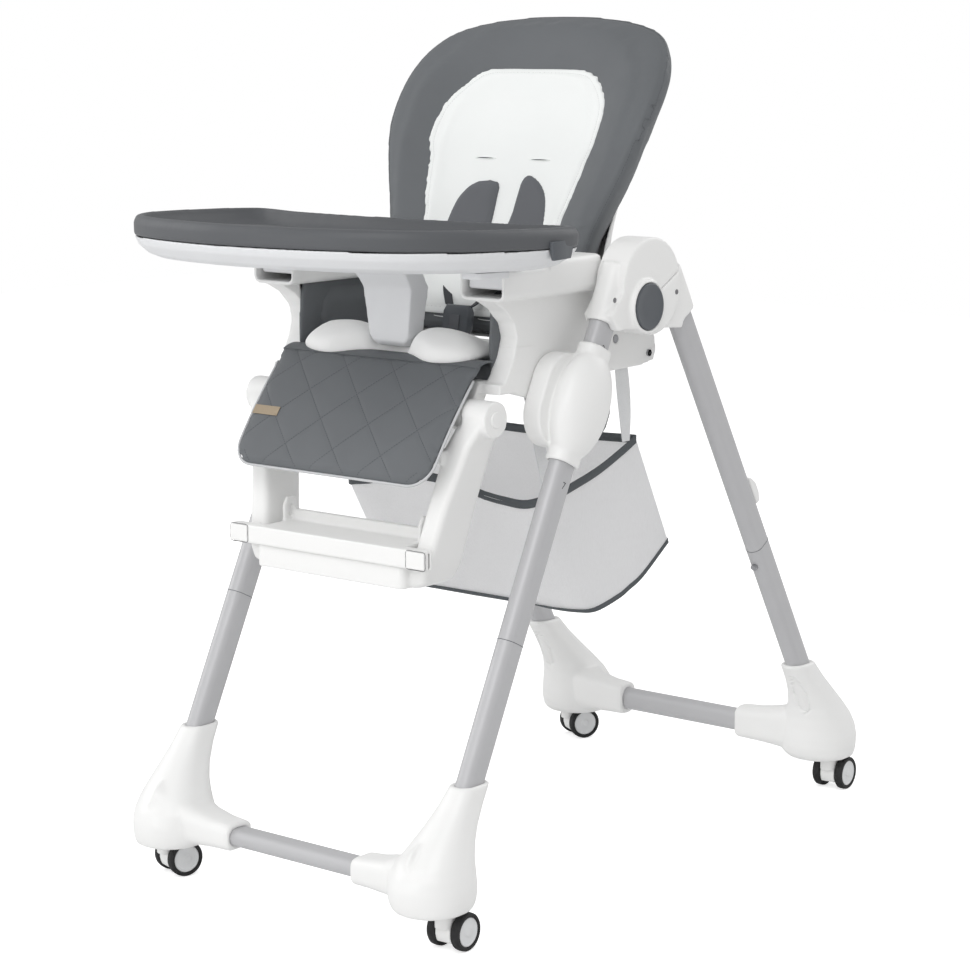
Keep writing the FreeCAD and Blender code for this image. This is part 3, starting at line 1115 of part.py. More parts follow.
def screws():
    """The pan-head screws that hold the seat sides to the pan and the pan to the sliders."""
    heads = []
    for k, (y, z) in enumerate(((78, 652), (-30, 655))):
        heads.append(rod("ScrewHead%d" % k, S.side_outer, S.side_outer + 2.2, y, z, 9))
    node("screws", group("Screws", *heads, *[other_side("ScrewTwin%d" % k, h) for k, h in enumerate(heads)]))


# ---------------------------------------------------------------- the whole chair
legs()
cross_tube("FrontCross", "front_cross_tube", S.front_cross_y, S.front_cross_z, S.front_cross_deep,
           S.front_cross_high)
cross_tube("RearCross", "rear_cross_tube", S.rear_cross_y, S.rear_cross_z, S.rear_cross_deep,
           S.rear_cross_high)
boot("FrontBoot", "front_boot", front_leg_y, S.front_boot_top, S.front_cross_y, S.front_cross_z,
     S.front_cross_deep, S.front_cross_high, S.front_caster_y, on_front_leg, front_line, S.front_foot)
boot("RearBoot", "rear_boot", rear_leg_y, S.rear_boot_top, S.rear_cross_y, S.rear_cross_z,
     S.rear_cross_deep, S.rear_cross_high, S.rear_caster_y, on_rear_leg, rear_line, S.rear_foot)
caster("caster_front_left", 1, S.front_caster_y, S.yaw_front_left, False)
caster("caster_front_right", -1, S.front_caster_y, S.yaw_front_right, True)
caster("caster_rear_left", 1, S.rear_caster_y, S.yaw_rear_left, False)
caster("caster_rear_right", -1, S.rear_caster_y, S.yaw_rear_right, True)
hub()
snap_buttons()
tray_hooks()
slider()
seat_side()
seat_pan()
seat_pad()
backrest()
pivot_pins()
tray()
footrest()
step()
basket()
soft_fittings()
screws()

doc.recompute()
for obj in doc.Objects:
    if "Invalid" in obj.State or "Error" in obj.State:
        raise RuntimeError("%s does not build: %s" % (obj.Name, obj.State))
for obj in NODES:
    if obj.Shape.isNull() or not obj.Shape.isValid():
        raise RuntimeError("%s is not a sound solid" % obj.Label)
os.makedirs("parts", exist_ok=True)
for obj in NODES:
    obj.Shape.exportStep("parts/%s.step" % obj.Label)
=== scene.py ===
import json
import math
from contextlib import contextmanager
import bmesh
import bpy
from mathutils import Matrix, Vector, noise
from mathutils.bvhtree import BVHTree
from mathutils.kdtree import KDTree


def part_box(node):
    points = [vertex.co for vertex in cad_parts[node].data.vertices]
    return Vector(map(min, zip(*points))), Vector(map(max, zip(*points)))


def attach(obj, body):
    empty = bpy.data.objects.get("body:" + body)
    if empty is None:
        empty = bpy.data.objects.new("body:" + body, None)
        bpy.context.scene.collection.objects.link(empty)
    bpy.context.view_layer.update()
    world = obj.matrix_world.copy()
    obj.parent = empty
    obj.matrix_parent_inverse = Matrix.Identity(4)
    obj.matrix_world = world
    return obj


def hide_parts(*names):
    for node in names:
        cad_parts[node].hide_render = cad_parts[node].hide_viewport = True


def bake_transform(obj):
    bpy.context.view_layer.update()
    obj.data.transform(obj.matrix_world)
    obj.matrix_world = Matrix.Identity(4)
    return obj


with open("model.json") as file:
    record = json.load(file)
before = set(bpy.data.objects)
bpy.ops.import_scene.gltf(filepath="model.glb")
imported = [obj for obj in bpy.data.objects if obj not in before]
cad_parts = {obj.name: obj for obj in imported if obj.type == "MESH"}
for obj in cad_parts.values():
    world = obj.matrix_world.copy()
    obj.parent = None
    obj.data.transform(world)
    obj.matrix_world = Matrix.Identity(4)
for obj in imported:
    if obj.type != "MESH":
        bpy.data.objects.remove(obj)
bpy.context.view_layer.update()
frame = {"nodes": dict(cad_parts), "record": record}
scene = bpy.context.scene
NODES = frame["nodes"]
SIDES = (("left", 1), ("right", -1))
JOINTS = {joint["name"]: joint for joint in frame["record"]["behaviour"]["joints"]}


def placed(name, data):
    """A new object in the scene that shows the data."""
    piece = bpy.data.objects.new(name, data)
    scene.collection.objects.link(piece)
    return piece


def corners(node):
    """The low and the high corner of a construction piece's box."""
    return [Vector(corner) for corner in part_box(node)]


def clamp(value):
    """A value held between 0 and 1."""
    return max(0.0, min(1.0, value))


# ------------------------------------------------------------------ room and camera
# A pale studio sweep with soft light from above and both sides. The chair stands at
# its middle, turned so that its right front corner and left side face the camera.
camera_data = bpy.data.cameras.new("camera")
camera_data.sensor_width = 36
camera_data.lens = 98.17
camera = placed("camera", camera_data)
camera.location = (2.0950, -2.6510, 1.06)
camera.rotation_euler = (math.radians(90 - 9.858), 0, math.radians(38.585))
scene.camera = camera
scene.view_settings.view_transform = "Standard"


def tint(red, green, blue):
    """A display colour, 0 to 255, as the linear colour that a shader takes."""
    linear = [((v / 255 + 0.055) / 1.055) ** 2.4 if v > 10 else v / 255 / 12.92
              for v in (red, green, blue)]
    return (*linear, 1.0)


def soft_box_light(name, place, size, power, aim=(0, 0, 0.5)):
    """A large square studio light that looks at a point on the chair."""
    data = bpy.data.lights.new(name, "AREA")
    data.shape = "SQUARE"
    data.size = size
    data.energy = power
    lamp = placed(name, data)
    lamp.location = place
    lamp.rotation_euler = (Vector(aim) - Vector(place)).to_track_quat("-Z", "Y").to_euler()


soft_box_light("key", (1.6, -3.2, 3.4), 2.6, 60)
soft_box_light("fill", (-3.4, -1.6, 2.2), 2.6, 34)
soft_box_light("low", (-0.6, -3.8, 0.9), 2.4, 24, (0, 0, 0.6))
soft_box_light("back", (1.2, 3.4, 2.8), 2.4, 36)

studio = bpy.data.worlds.new("studio")
scene.world = studio
studio.use_nodes = True
sky = studio.node_tree.nodes["Background"]
sky.inputs["Color"].default_value = (1, 1, 1, 1)
sky.inputs["Strength"].default_value = 0.62
seen = studio.node_tree.nodes.new("ShaderNodeBackground")
seen.inputs["Color"].default_value = (1, 1, 1, 1)
chosen = studio.node_tree.nodes.new("ShaderNodeMixShader")
rays = studio.node_tree.nodes.new("ShaderNodeLightPath")
studio.node_tree.links.new(rays.outputs["Is Camera Ray"], chosen.inputs[0])
studio.node_tree.links.new(sky.outputs[0], chosen.inputs[1])
studio.node_tree.links.new(seen.outputs[0], chosen.inputs[2])
studio.node_tree.links.new(chosen.outputs[0], studio.node_tree.nodes["World Output"].inputs[0])

floor_mesh = bpy.data.meshes.new("floor")
floor_mesh.from_pydata([(-6, -6, 0), (6, -6, 0), (6, 6, 0), (-6, 6, 0)], [], [(0, 1, 2, 3)])
floor = placed("floor", floor_mesh)
paper = bpy.data.materials.new("studio_paper")
paper.use_nodes = True
sweep = paper.node_tree
matt = sweep.nodes["Principled BSDF"]
matt.inputs["Base Color"].default_value = (0.86, 0.86, 0.86, 1)
matt.inputs["Roughness"].default_value = 0.9
matt.inputs["Specular IOR Level"].default_value = 0.1
glow = sweep.nodes.new("ShaderNodeEmission")
both = sweep.nodes.new("ShaderNodeAddShader")
light_path = sweep.nodes.new("ShaderNodeLightPath")
lift = sweep.nodes.new("ShaderNodeMath")
lift.operation = "MULTIPLY"
lift.inputs[1].default_value = 0.6
sweep.links.new(light_path.outputs["Is Camera Ray"], lift.inputs[0])
sweep.links.new(lift.outputs[0], glow.inputs["Strength"])
sweep.links.new(matt.outputs[0], both.inputs[0])
sweep.links.new(glow.outputs[0], both.inputs[1])
sweep.links.new(both.outputs[0], sweep.nodes["Material Output"].inputs[0])
floor_mesh.materials.append(paper)


# ------------------------------------------------------------------ leg tubes
# Flat-sided oval steel tubes, sprayed silver grey. Each leg is an upper and a lower
# tube on a spigot, and a cross tube joins the feet of each pair.
class Finish:
    """A material being mixed: its node tree and the shader that ends it."""

    def __init__(self, name, colour, roughness, metallic=0.0, specular=0.5):
        """Starts from one even colour and gloss."""
        self.material = bpy.data.materials.new(name)
        self.material.use_nodes = True
        self.tree = self.material.node_tree
        self.shader = self.tree.nodes["Principled BSDF"]
        self.colour = tint(*colour)
        self.roughness = roughness
        self.shader.inputs["Base Color"].default_value = self.colour
        self.shader.inputs["Roughness"].default_value = roughness
        self.shader.inputs["Metallic"].default_value = metallic
        self.shader.inputs["Specular IOR Level"].default_value = specular
        self.place = self.add("ShaderNodeTexCoord").outputs["Object"]

    def add(self, kind, **settings):
        """A new node with its settings, given as attributes or as inputs."""
        node = self.tree.nodes.new(kind)
        for key, value in settings.items():
            if hasattr(node, key):
                setattr(node, key, value)
            else:
                node.inputs[key.replace("_", " ").title()].default_value = value
        return node

    def link(self, source, target):
        """Joins an output to an input."""
        self.tree.links.new(source, target)

    def stretched(self, scale):
        """Object coordinates with a different scale along each axis."""
        mapping = self.add("ShaderNodeMapping")
        mapping.inputs["Scale"].default_value = scale
        self.link(self.place, mapping.inputs["Vector"])
        return mapping.outputs[0]

    def cloud(self, scale, detail=3.0, where=None, roughness=0.5):
        """Soft noise at a scale in waves per metre."""
        texture = self.add("ShaderNodeTexNoise", scale=scale, detail=detail, roughness=roughness)
        self.link(where or self.place, texture.inputs["Vector"])
        return texture.outputs[0]

    def cells(self, scale, feature="F1", where=None):
        """Pebbled cells at a scale per metre."""
        texture = self.add("ShaderNodeTexVoronoi", feature=feature, scale=scale)
        self.link(where or self.place, texture.inputs["Vector"])
        return texture.outputs["Distance"]

    def sum(self, kind, first, second):
        """Two values put through one arithmetic step."""
        maths = self.add("ShaderNodeMath", operation=kind)
        for socket, value in zip(maths.inputs, (first, second)):
            if isinstance(value, (int, float)):
                socket.default_value = value
            else:
                self.link(value, socket)
        return maths.outputs[0]

    def mottle(self, field, amount, other=None):
        """The colour drifts a little, darker or towards another colour, over the field."""
        low = other or tuple(v * (1 - amount) for v in self.colour[:3]) + (1.0,)
        mix = self.add("ShaderNodeMix", data_type="RGBA")
        for socket in mix.inputs:
            if socket.type == "RGBA" and socket.name == "A":
                socket.default_value = self.colour
            if socket.type == "RGBA" and socket.name == "B":
                socket.default_value = low
        self.link(field, mix.inputs["Factor"])
        self.link([s for s in mix.outputs if s.type == "RGBA"][0], self.shader.inputs["Base Color"])
        return self

    def wear(self, field, spread):
        """The gloss varies over the field."""
        span = self.add("ShaderNodeMapRange")
        span.inputs["To Min"].default_value = max(0.02, self.roughness - spread)
        span.inputs["To Max"].default_value = min(1.0, self.roughness + spread)
        self.link(field, span.inputs["Value"])
        self.link(span.outputs[0], self.shader.inputs["Roughness"])
        return self

    def relief(self, field, depth, strength=1.0):
        """Raises the surface by the field, up to depth in metres."""
        bump = self.add("ShaderNodeBump")
        bump.inputs["Distance"].default_value = depth
        bump.inputs["Strength"].default_value = strength
        self.link(field, bump.inputs["Height"])
        before = self.shader.inputs["Normal"].links
        if before:
            self.link(before[0].from_socket, bump.inputs["Normal"])
        self.link(bump.outputs[0], self.shader.inputs["Normal"])
        return self


def dress(node, finish):
    """Gives a construction piece its finish."""
    for slot in NODES[node].material_slots:
        slot.material = finish


def tube_paint():
    """Silver-grey spray paint over drawn steel: fine orange peel, faint lines along the tube."""
    mix = Finish("tube_paint", (190, 190, 192), 0.38, metallic=0.12)
    mix.mottle(mix.cloud(26, 4), 0.05).wear(mix.cloud(60, 5), 0.07)
    mix.relief(mix.cloud(1600, 2), 0.00002).relief(mix.cloud(90, 3), 0.00006)
    return mix.material


TUBE = tube_paint()
for node in ("front_leg_left", "front_leg_right", "front_legs_lower", "front_cross_tube",
             "rear_leg_left", "rear_leg_right", "rear_legs_lower", "rear_cross_tube"):
    dress(node, TUBE)


# ------------------------------------------------------------------ boots
# White moulded boots swell from a sleeve round each leg to a heel over the caster,
# and a toe that grips the cross tube.
def made(name, vertices, faces):
    """A new mesh object from points and faces."""
    mesh = bpy.data.meshes.new(name)
    mesh.from_pydata([tuple(v) for v in vertices], [], faces)
    mesh.validate()
    return placed(name, mesh)


@contextmanager
def edited(piece):
    """A piece's mesh, open for editing and written back at the end."""
    shape = bmesh.new()
    shape.from_mesh(piece.data)
    yield shape
    shape.to_mesh(piece.data)
    shape.free()


def faced(piece, weld=None, fill=False):
    """A piece whose faces all look outwards, once near points are welded and holes filled."""
    with edited(piece) as shape:
        if weld:
            bmesh.ops.remove_doubles(shape, verts=shape.verts, dist=weld)
        if fill:
            bmesh.ops.holes_fill(shape, edges=shape.edges, sides=0)
        bmesh.ops.recalc_face_normals(shape, faces=shape.faces)
    return piece


def surface(mesh):
    """A mesh's surface, ready to be searched."""
    shape = bmesh.new()
    shape.from_mesh(mesh)
    tree = BVHTree.FromBMesh(shape)
    shape.free()
    return tree


def outward(piece):
    """Each vertex of a piece with the direction that it faced at the start."""
    normals = [vertex.normal.copy() for vertex in piece.data.vertices]
    return zip(piece.data.vertices, normals)


def tube_faces(count, sides, closed=False, capped=True, first=0):
    """Faces through count rings of points, each with as many points as it has sides."""
    faces = []
    for k in range(count if closed else count - 1):
        here, there = first + k * sides, first + (k + 1) % count * sides
        for j in range(sides):
            after = (j + 1) % sides
            faces.append((here + j, here + after, there + after, there + j))
    if capped and not closed:
        faces.append(tuple(range(sides))[::-1])
        faces.append(tuple((count - 1) * sides + j for j in range(sides)))
    return faces


def finished(piece, finish, body, replaces=(), smooth=40):
    """Paints a piece, shades it, and gives it its body and the nodes it stands for."""
    mesh = piece.data
    mesh.materials.clear()
    mesh.materials.append(finish)
    for face in mesh.polygons:
        face.material_index = 0
    crease(piece, smooth)
    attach(piece, body)
    if replaces:
        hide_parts(*replaces)
    return piece


def crease(piece, angle):
    """Smooth shading that keeps the edges sharper than the angle crisp."""
    for face in piece.data.polygons:
        face.use_smooth = True
    if angle < 180:
        piece.data.set_sharp_from_angle(angle=math.radians(angle))


def baked(piece):
    """Applies every modifier on a piece, so that only its plain mesh is left."""
    graph = bpy.context.evaluated_depsgraph_get()
    mesh = bpy.data.meshes.new_from_object(piece.evaluated_get(graph))
    old = piece.data
    piece.modifiers.clear()
    piece.data = mesh
    mesh.name = piece.name
    if isinstance(old, bpy.types.Mesh):
        bpy.data.meshes.remove(old)
    return piece


def copied(node, name=None):
    """A welded copy of a construction piece's mesh."""
    mesh = NODES[node].data.copy()
    piece = placed(name or node + "_moulded", mesh)
    with edited(piece) as shape:
        bmesh.ops.remove_doubles(shape, verts=shape.verts, dist=0.00001)
    if "custom_normal" in mesh.attributes:
        mesh.attributes.remove(mesh.attributes["custom_normal"])
    return piece


def remeshed(piece, cell, passes=0, keep=1.0):
    """Rebuilds a piece on an even grid of cells, softens it and keeps a share of its faces."""
    grid = piece.modifiers.new("grid", "REMESH")
    grid.mode = "VOXEL"
    grid.voxel_size = cell
    if passes:
        soften = piece.modifiers.new("soften", "SMOOTH")
        soften.factor = 0.5
        soften.iterations = passes
    if keep < 1:
        thin = piece.modifiers.new("thin", "DECIMATE")
        thin.ratio = keep
    baked(piece)


def moulded(node, finish, body, cell, passes, keep=1.0):
    """A plastic moulding with the soft edges its tool leaves, in place of the sharp node."""
    piece = copied(node)
    remeshed(piece, cell, passes, keep)
    return finished(piece, finish, body, replaces=(node,), smooth=180)


def thicken(piece, amount):
    """Moves a piece's surface outwards."""
    for vertex, out in outward(piece):
        vertex.co += out * amount


def cover_over(piece, inner, wall):
    """Keeps a piece at least a wall's thickness outside the part that it grips."""
    tree = surface(NODES[inner].data)
    for vertex, out in outward(piece):
        spot, facing, _, _ = tree.find_nearest(vertex.co, 0.012)
        if spot is None or out.dot(facing) < 0.3:
            continue
        depth = (vertex.co - spot).dot(facing)
        if depth < wall:
            vertex.co += facing * (wall - depth)


def white_plastic():
    """Glossy white polypropylene with the fine spark texture of its mould."""
    mix = Finish("white_plastic", (240, 240, 239), 0.36)
    mix.mottle(mix.cloud(14, 3), 0.025).wear(mix.cloud(45, 4), 0.06)
    mix.relief(mix.cloud(2200, 2), 0.000015).relief(mix.cloud(18, 2), 0.0002, 0.5)
    return mix.material


def turned(name, profile, centre, axis, steps=48):
    """A turned piece: (radius, distance along the axis) points spun round the axis."""
    along = Vector(axis).normalized()
    across = along.orthogonal().normalized()
    third = along.cross(across)
    vertices, faces = [], []
    for step in range(steps):
        angle = 2 * math.pi * step / steps
        out = across * math.cos(angle) + third * math.sin(angle)
        vertices += [Vector(centre) + out * r + along * d for r, d in profile]
    count = len(profile)
    for step in range(steps):
        here, there = step * count, (step + 1) % steps * count
        for k in range(count - 1):
            faces.append((here + k, there + k, there + k + 1, here + k + 1))
    return faced(made(name, vertices, faces), 0.000001, fill=True)


WHITE = white_plastic()
for end, cell, passes, growth in (("front", 0.0024, 9, 0.0006), ("rear", 0.002, 5, 0.0015)):
    for side, sign in SIDES:
        boot = moulded(f"{end}_boot_{side}", WHITE, f"{end}_frame", cell, passes)
        thicken(boot, growth)
        cover_over(boot, f"{end}_legs_lower", 0.0012)
skins = copied("rear_legs_lower", "rear_boot_skins")
skin_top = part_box("rear_boot_left")[1][2] - 0.013
with edited(skins) as shape:
    bmesh.ops.bisect_plane(shape, geom=[*shape.verts, *shape.edges, *shape.faces], dist=0.00001,
                           plane_co=(0, 0, skin_top), plane_no=(0, 0, 1), clear_outer=True)
thicken(skins, 0.0013)
finished(skins, WHITE, "rear_frame", smooth=40)


# ------------------------------------------------------------------ casters
# Twin-wheel casters: a white hood on a swivel stem, and two wheels on one steel axle.
# Each wheel is a black rubber tyre round a pale dished disc.
def joined(name, parts):
    """Several meshes as one piece."""
    if len(parts) > 1:
        with bpy.context.temp_override(active_object=parts[0], selected_editable_objects=parts,
                                       object=parts[0], selected_objects=parts):
            bpy.ops.object.join()
    parts[0].name = name
    parts[0].data.name = name
    return parts[0]


def rubber():
    """Dull black rubber with a fine grain and a little dust."""
    mix = Finish("tyre_rubber", (24, 24, 25), 0.62, specular=0.35)
    mix.mottle(mix.cloud(70, 4), 0.25, tint(44, 44, 45)).wear(mix.cloud(200, 3), 0.1)
    mix.relief(mix.cloud(2600, 2), 0.00003)
    return mix.material


def wheel_plastic():
    """Pale grey nylon of the wheel discs."""
    mix = Finish("wheel_disc", (224, 225, 226), 0.38)
    mix.mottle(mix.cloud(50, 3), 0.04).relief(mix.cloud(2400, 2), 0.000015)
    return mix.material


TYRE = rubber()
DISC = wheel_plastic()
for corner in ("front_left", "front_right", "rear_left", "rear_right"):
    roll = JOINTS["roll_" + corner]
    hub_point, axle = Vector(roll["pos_m"]), Vector(roll["axis"])
    wheel_node = f"caster_{corner}_wheels"
    radius = hub_point.z
    start, tread = 0.0113, 0.012
    tyres, discs = [], []
    for outside in (axle, -axle):
        tyre_line = [(radius * 0.76, start + 0.0004), (radius * 0.93, start + 0.0002),
                     (radius * 0.985, start + 0.0016),
                     (radius, start + 0.004), (radius, start + tread - 0.0045),
                     (radius * 0.985, start + tread - 0.0016),
                     (radius * 0.93, start + tread - 0.0001), (radius * 0.83, start + tread),
                     (radius * 0.77, start + tread - 0.0006),
                     (radius * 0.76, start + tread - 0.002)]
        tyres.append(turned("tyre", tyre_line, hub_point, outside))
        disc_line = [(0.0002, start + 0.0006), (radius * 0.755, start + 0.0006),
                     (radius * 0.755, start + tread - 0.0016),
                     (radius * 0.72, start + tread - 0.0009),
                     (radius * 0.66, start + tread - 0.0008),
                     (radius * 0.63, start + tread - 0.0014),
                     (radius * 0.36, start + tread - 0.0018),
                     (radius * 0.22, start + tread - 0.0012),
                     (radius * 0.19, start + tread - 0.0006),
                     (0.0002, start + tread - 0.0004)]
        discs.append(turned("disc", disc_line, hub_point, outside))
    axle_end = start + 0.0008
    axle_line = [(0.0001, -axle_end), (0.003, -axle_end), (0.003, axle_end), (0.0001, axle_end)]
    discs.append(turned("axle", axle_line, hub_point, axle, 20))
    for label, parts, finish, slot in (("tyres", tyres, TYRE, "tyre"),
                                       ("discs", discs, DISC, "white_plastic")):
        piece = joined(f"caster_{corner}_{label}", parts)
        finished(piece, finish, wheel_node, (wheel_node,), smooth=35)
    moulded(f"caster_{corner}_hood", WHITE, f"caster_{corner}_swivel", 0.0011, 4, 0.5)


# ------------------------------------------------------------------ fold hubs
# Each hub is a fixed domed half on the front leg and a turning half on the rear leg.
# A dark push button in a raised ring at the pivot lets the frame fold.
def button_plastic():
    """Slate-grey moulded buttons with a satin spark finish."""
    mix = Finish("button_plastic", (85, 89, 94), 0.42)
    mix.mottle(mix.cloud(40, 3), 0.05).wear(mix.cloud(120, 4), 0.06)
    mix.relief(mix.cloud(2400, 2), 0.00002)
    return mix.material


def dark_hole():
    """Painted shade: a flat grey that stands for the shadowed inside of screw sockets and slots,
    used on the hub screw heads and the gap round the step buttons.
    """
    mix = Finish("socket_shadow", (138, 138, 140), 0.8, specular=0.2)
    mix.mottle(mix.cloud(300, 2), 0.2)
    return mix.material


def zinc():
    """Bright zinc-plated steel screws and pins."""
    mix = Finish("zinc_steel", (170, 171, 174), 0.3, metallic=1.0)
    mix.mottle(mix.cloud(300, 3), 0.12).wear(mix.cloud(500, 3), 0.1)
    return mix.material


BUTTON = button_plastic()
SHADOW = dark_hole()
ZINC = zinc()


def new_tree(name, **sockets):
    """An empty geometry node tree with its input sockets, each with its kind, and one output."""
    tree = bpy.data.node_groups.new(name, "GeometryNodeTree")
    for label, kind in sockets.items():
        tree.interface.new_socket(label, in_out="INPUT", socket_type="NodeSocket" + kind)
    tree.interface.new_socket("Result", in_out="OUTPUT", socket_type="NodeSocketGeometry")
    return tree, tree.nodes, tree.links


def times(tree, value, factor):
    """A value of a node tree multiplied by a factor."""
    product = tree.nodes.new("ShaderNodeMath")
    product.operation = "MULTIPLY"
    product.inputs[1].default_value = factor
    tree.links.new(value, product.inputs[0])
    return product.outputs[0]


def painted(tree, spread, given, result):
    """Ends a node tree: the spread copies made real, and given their finish."""
    real = tree.nodes.new("GeometryNodeRealizeInstances")
    paint = tree.nodes.new("GeometryNodeSetMaterial")
    tree.links.new(spread.outputs[0], real.inputs[0])
    tree.links.new(real.outputs[0], paint.inputs["Geometry"])
    tree.links.new(given.outputs["Finish"], paint.inputs["Material"])
    tree.links.new(paint.outputs[0], result.inputs[0])
    return tree


def screws_tree():
    """Geometry nodes: a cross-head screw at each point, its axis along the point's facing."""
    tree, nodes, links = new_tree("screws", Points="Geometry", Radius="Float", Finish="Material")
    given, result = nodes.new("NodeGroupInput"), nodes.new("NodeGroupOutput")
    cup = nodes.new("GeometryNodeMeshCylinder")
    cup.inputs["Vertices"].default_value = 20
    cup.inputs["Depth"].default_value = 0.0006
    links.new(given.outputs["Radius"], cup.inputs["Radius"])
    slots = []
    for lengthwise, crosswise in ("XY", "YX"):
        bar = nodes.new("GeometryNodeMeshCube")
        long = nodes.new("ShaderNodeCombineXYZ")
        links.new(times(tree, given.outputs["Radius"], 1.1), long.inputs[lengthwise])
        long.inputs[crosswise].default_value = 0.0006
        long.inputs["Z"].default_value = 0.0011
        links.new(long.outputs[0], bar.inputs["Size"])
        slots.append(bar)
    head = nodes.new("GeometryNodeJoinGeometry")
    for part in (cup, *slots):
        links.new(part.outputs["Mesh"], head.inputs[0])
    spread = nodes.new("GeometryNodeInstanceOnPoints")
    links.new(given.outputs["Points"], spread.inputs["Points"])
    links.new(head.outputs[0], spread.inputs["Instance"])
    facing = nodes.new("FunctionNodeAlignRotationToVector")
    facing.axis = "Z"
    normal = nodes.new("GeometryNodeInputNamedAttribute")
    normal.data_type = "FLOAT_VECTOR"
    normal.inputs["Name"].default_value = "facing"
    links.new(normal.outputs["Attribute"], facing.inputs["Vector"])
    links.new(facing.outputs[0], spread.inputs["Rotation"])
    return painted(tree, spread, given, result)


SCREWS = screws_tree()


def grown(holder, tree, body, slot, **values):
    """Runs a node tree on a piece, keeps the plain mesh it makes, and puts it on its body."""
    grow = holder.modifiers.new("grow", "NODES")
    grow.node_group = tree
    for item in tree.interface.items_tree:
        if item.item_type == "SOCKET" and item.in_out == "INPUT" and item.name in values:
            grow[item.identifier] = values[item.name]
    holder.update_tag()
    baked(holder)
    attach(holder, body)


def screw_heads(name, spots, radius, finish, body, slot):
    """Screw heads at spots given as (point, direction it faces)."""
    mesh = bpy.data.meshes.new(name)
    mesh.from_pydata([tuple(point) for point, _ in spots], [], [])
    facing = mesh.attributes.new("facing", "FLOAT_VECTOR", "POINT")
    for value, (_, direction) in zip(facing.data, spots):
        value.vector = Vector(direction).normalized()
    holder = placed(name, mesh)
    grown(holder, SCREWS, body, slot, Radius=radius, Finish=finish)


pivot = Vector(JOINTS["fold"]["pos_m"])
for side, sign in SIDES:
    moulded(f"hub_front_{side}", WHITE, "front_frame", 0.0018, 6, 0.7)
    moulded(f"hub_rear_{side}", WHITE, "rear_frame", 0.0018, 5, 0.7)
    low, high = corners(f"hub_button_{side}")
    reach = (high.z - low.z) / 2
    outer = high.x if sign > 0 else -low.x
    cap_line = [(0.0001, -0.008), (reach * 0.98, -0.008), (reach, -0.0025),
                (reach * 0.99, -0.0011), (reach * 0.965, -0.0004),
                (reach * 0.93, -0.0002), (reach * 0.88, -0.0007), (reach * 0.5, -0.0013),
                (0.0001, -0.0015)]
    face_point = Vector((outer * sign, pivot.y, pivot.z))
    cap = turned(f"hub_button_{side}_cap", cap_line, face_point, (sign, 0, 0), 96)
    finished(cap, BUTTON, f"hub_button_{side}", (f"hub_button_{side}",),
             smooth=30)
    plate = sign * 0.2462
    for end, along_y, body in (("front", -0.0645, "front_frame"), ("rear", 0.066, "rear_frame")):
        spots = [((plate, pivot.y + along_y, pivot.z + 0.0125), (sign, 0, 0))]
        # The screw heads wear the painted socket shade: a flat grey standing in for the shadow in
        # their recesses.
        screw_heads(f"hub_screw_{end}_{side}", spots, 0.0032, SHADOW, body, "white_plastic")
dress("hub_pins", ZINC)
for side, sign in SIDES:
    dress(f"snap_button_{side}", ZINC)
moulded("tray_hooks", WHITE, "rear_frame", 0.0012, 4, 0.6)


# ------------------------------------------------------------------ step numbers
# The front tubes carry the seven seat heights as printed plain numbers, one a step.
def ink():
    """Dark screen-printing ink."""
    mix = Finish("printing_ink", (62, 62, 64), 0.55)
    mix.mottle(mix.cloud(900, 2), 0.2)
    return mix.material


INK = ink()
FIRST_FIGURE, FIGURE_STEP = 0.0375, 0.035
lean = math.atan2(-JOINTS["seat_height"]["axis"][1], -JOINTS["seat_height"]["axis"][2])
down_leg = Vector(JOINTS["seat_height"]["axis"])
leg_front = Vector((0, -math.cos(lean), math.sin(lean)))
for side, sign in SIDES:
    low, high = corners(f"front_leg_{side}")
    face_x = high.x if sign > 0 else low.x
    leg_line = pivot + leg_front * 0.0404
    figures = []
    for number in range(1, 8):
        text = bpy.data.curves.new("figure", "FONT")
        text.body = str(number)
        text.size = 0.0125
        text.align_x = "CENTER"
        text.align_y = "CENTER"
        text.extrude = 0.00004
        holder = placed("figure", text)
        figure = placed("figure", bpy.data.meshes.new_from_object(
            holder.evaluated_get(bpy.context.evaluated_depsgraph_get())))
        bpy.data.objects.remove(holder)
        spot = leg_line + down_leg * (FIRST_FIGURE + FIGURE_STEP * (number - 1))
        frame_of = Matrix(((0, 0, sign), (sign, 0, 0), (0, 1, 0))).to_4x4()
        turn = Matrix.Rotation(-lean, 4, "X")
        figure.data.transform(Matrix.Translation((face_x + sign * 0.00003, spot.y,
                                                  spot.z)) @ turn @ frame_of)
        figures.append(figure)
    finished(joined(f"step_numbers_{side}", figures), INK, "front_frame", smooth=20)


# ------------------------------------------------------------------ sliders and height levers
# An egg-shaped two-part moulding with a collar slides on each front tube and carries
# the seat. A lever on its back lifts the catch out of the tube's slots.
def seam_line(piece, point, normal, depth=0.0005, width=0.0007, keep=None):
    """A parting line sunk into a piece where a plane crosses it."""
    direction = Vector(normal).normalized()
    with edited(piece) as shape:
        for shift in (-width, width, 0):
            chosen = [f for f in shape.faces if keep is None or keep(f.calc_center_median())]
            verts = {v for f in chosen for v in f.verts}
            edges = {e for f in chosen for e in f.edges}
            cut = bmesh.ops.bisect_plane(
                shape, geom=[*verts, *edges, *chosen], dist=0.00002,
                plane_co=Vector(point) + direction * shift, plane_no=direction)
        shape.normal_update()
        line = {v for v in cut["geom_cut"] if isinstance(v, bmesh.types.BMVert)}
        moves = [(v, v.normal.copy()) for v in line]
        for v, out in moves:
            v.co -= out * depth


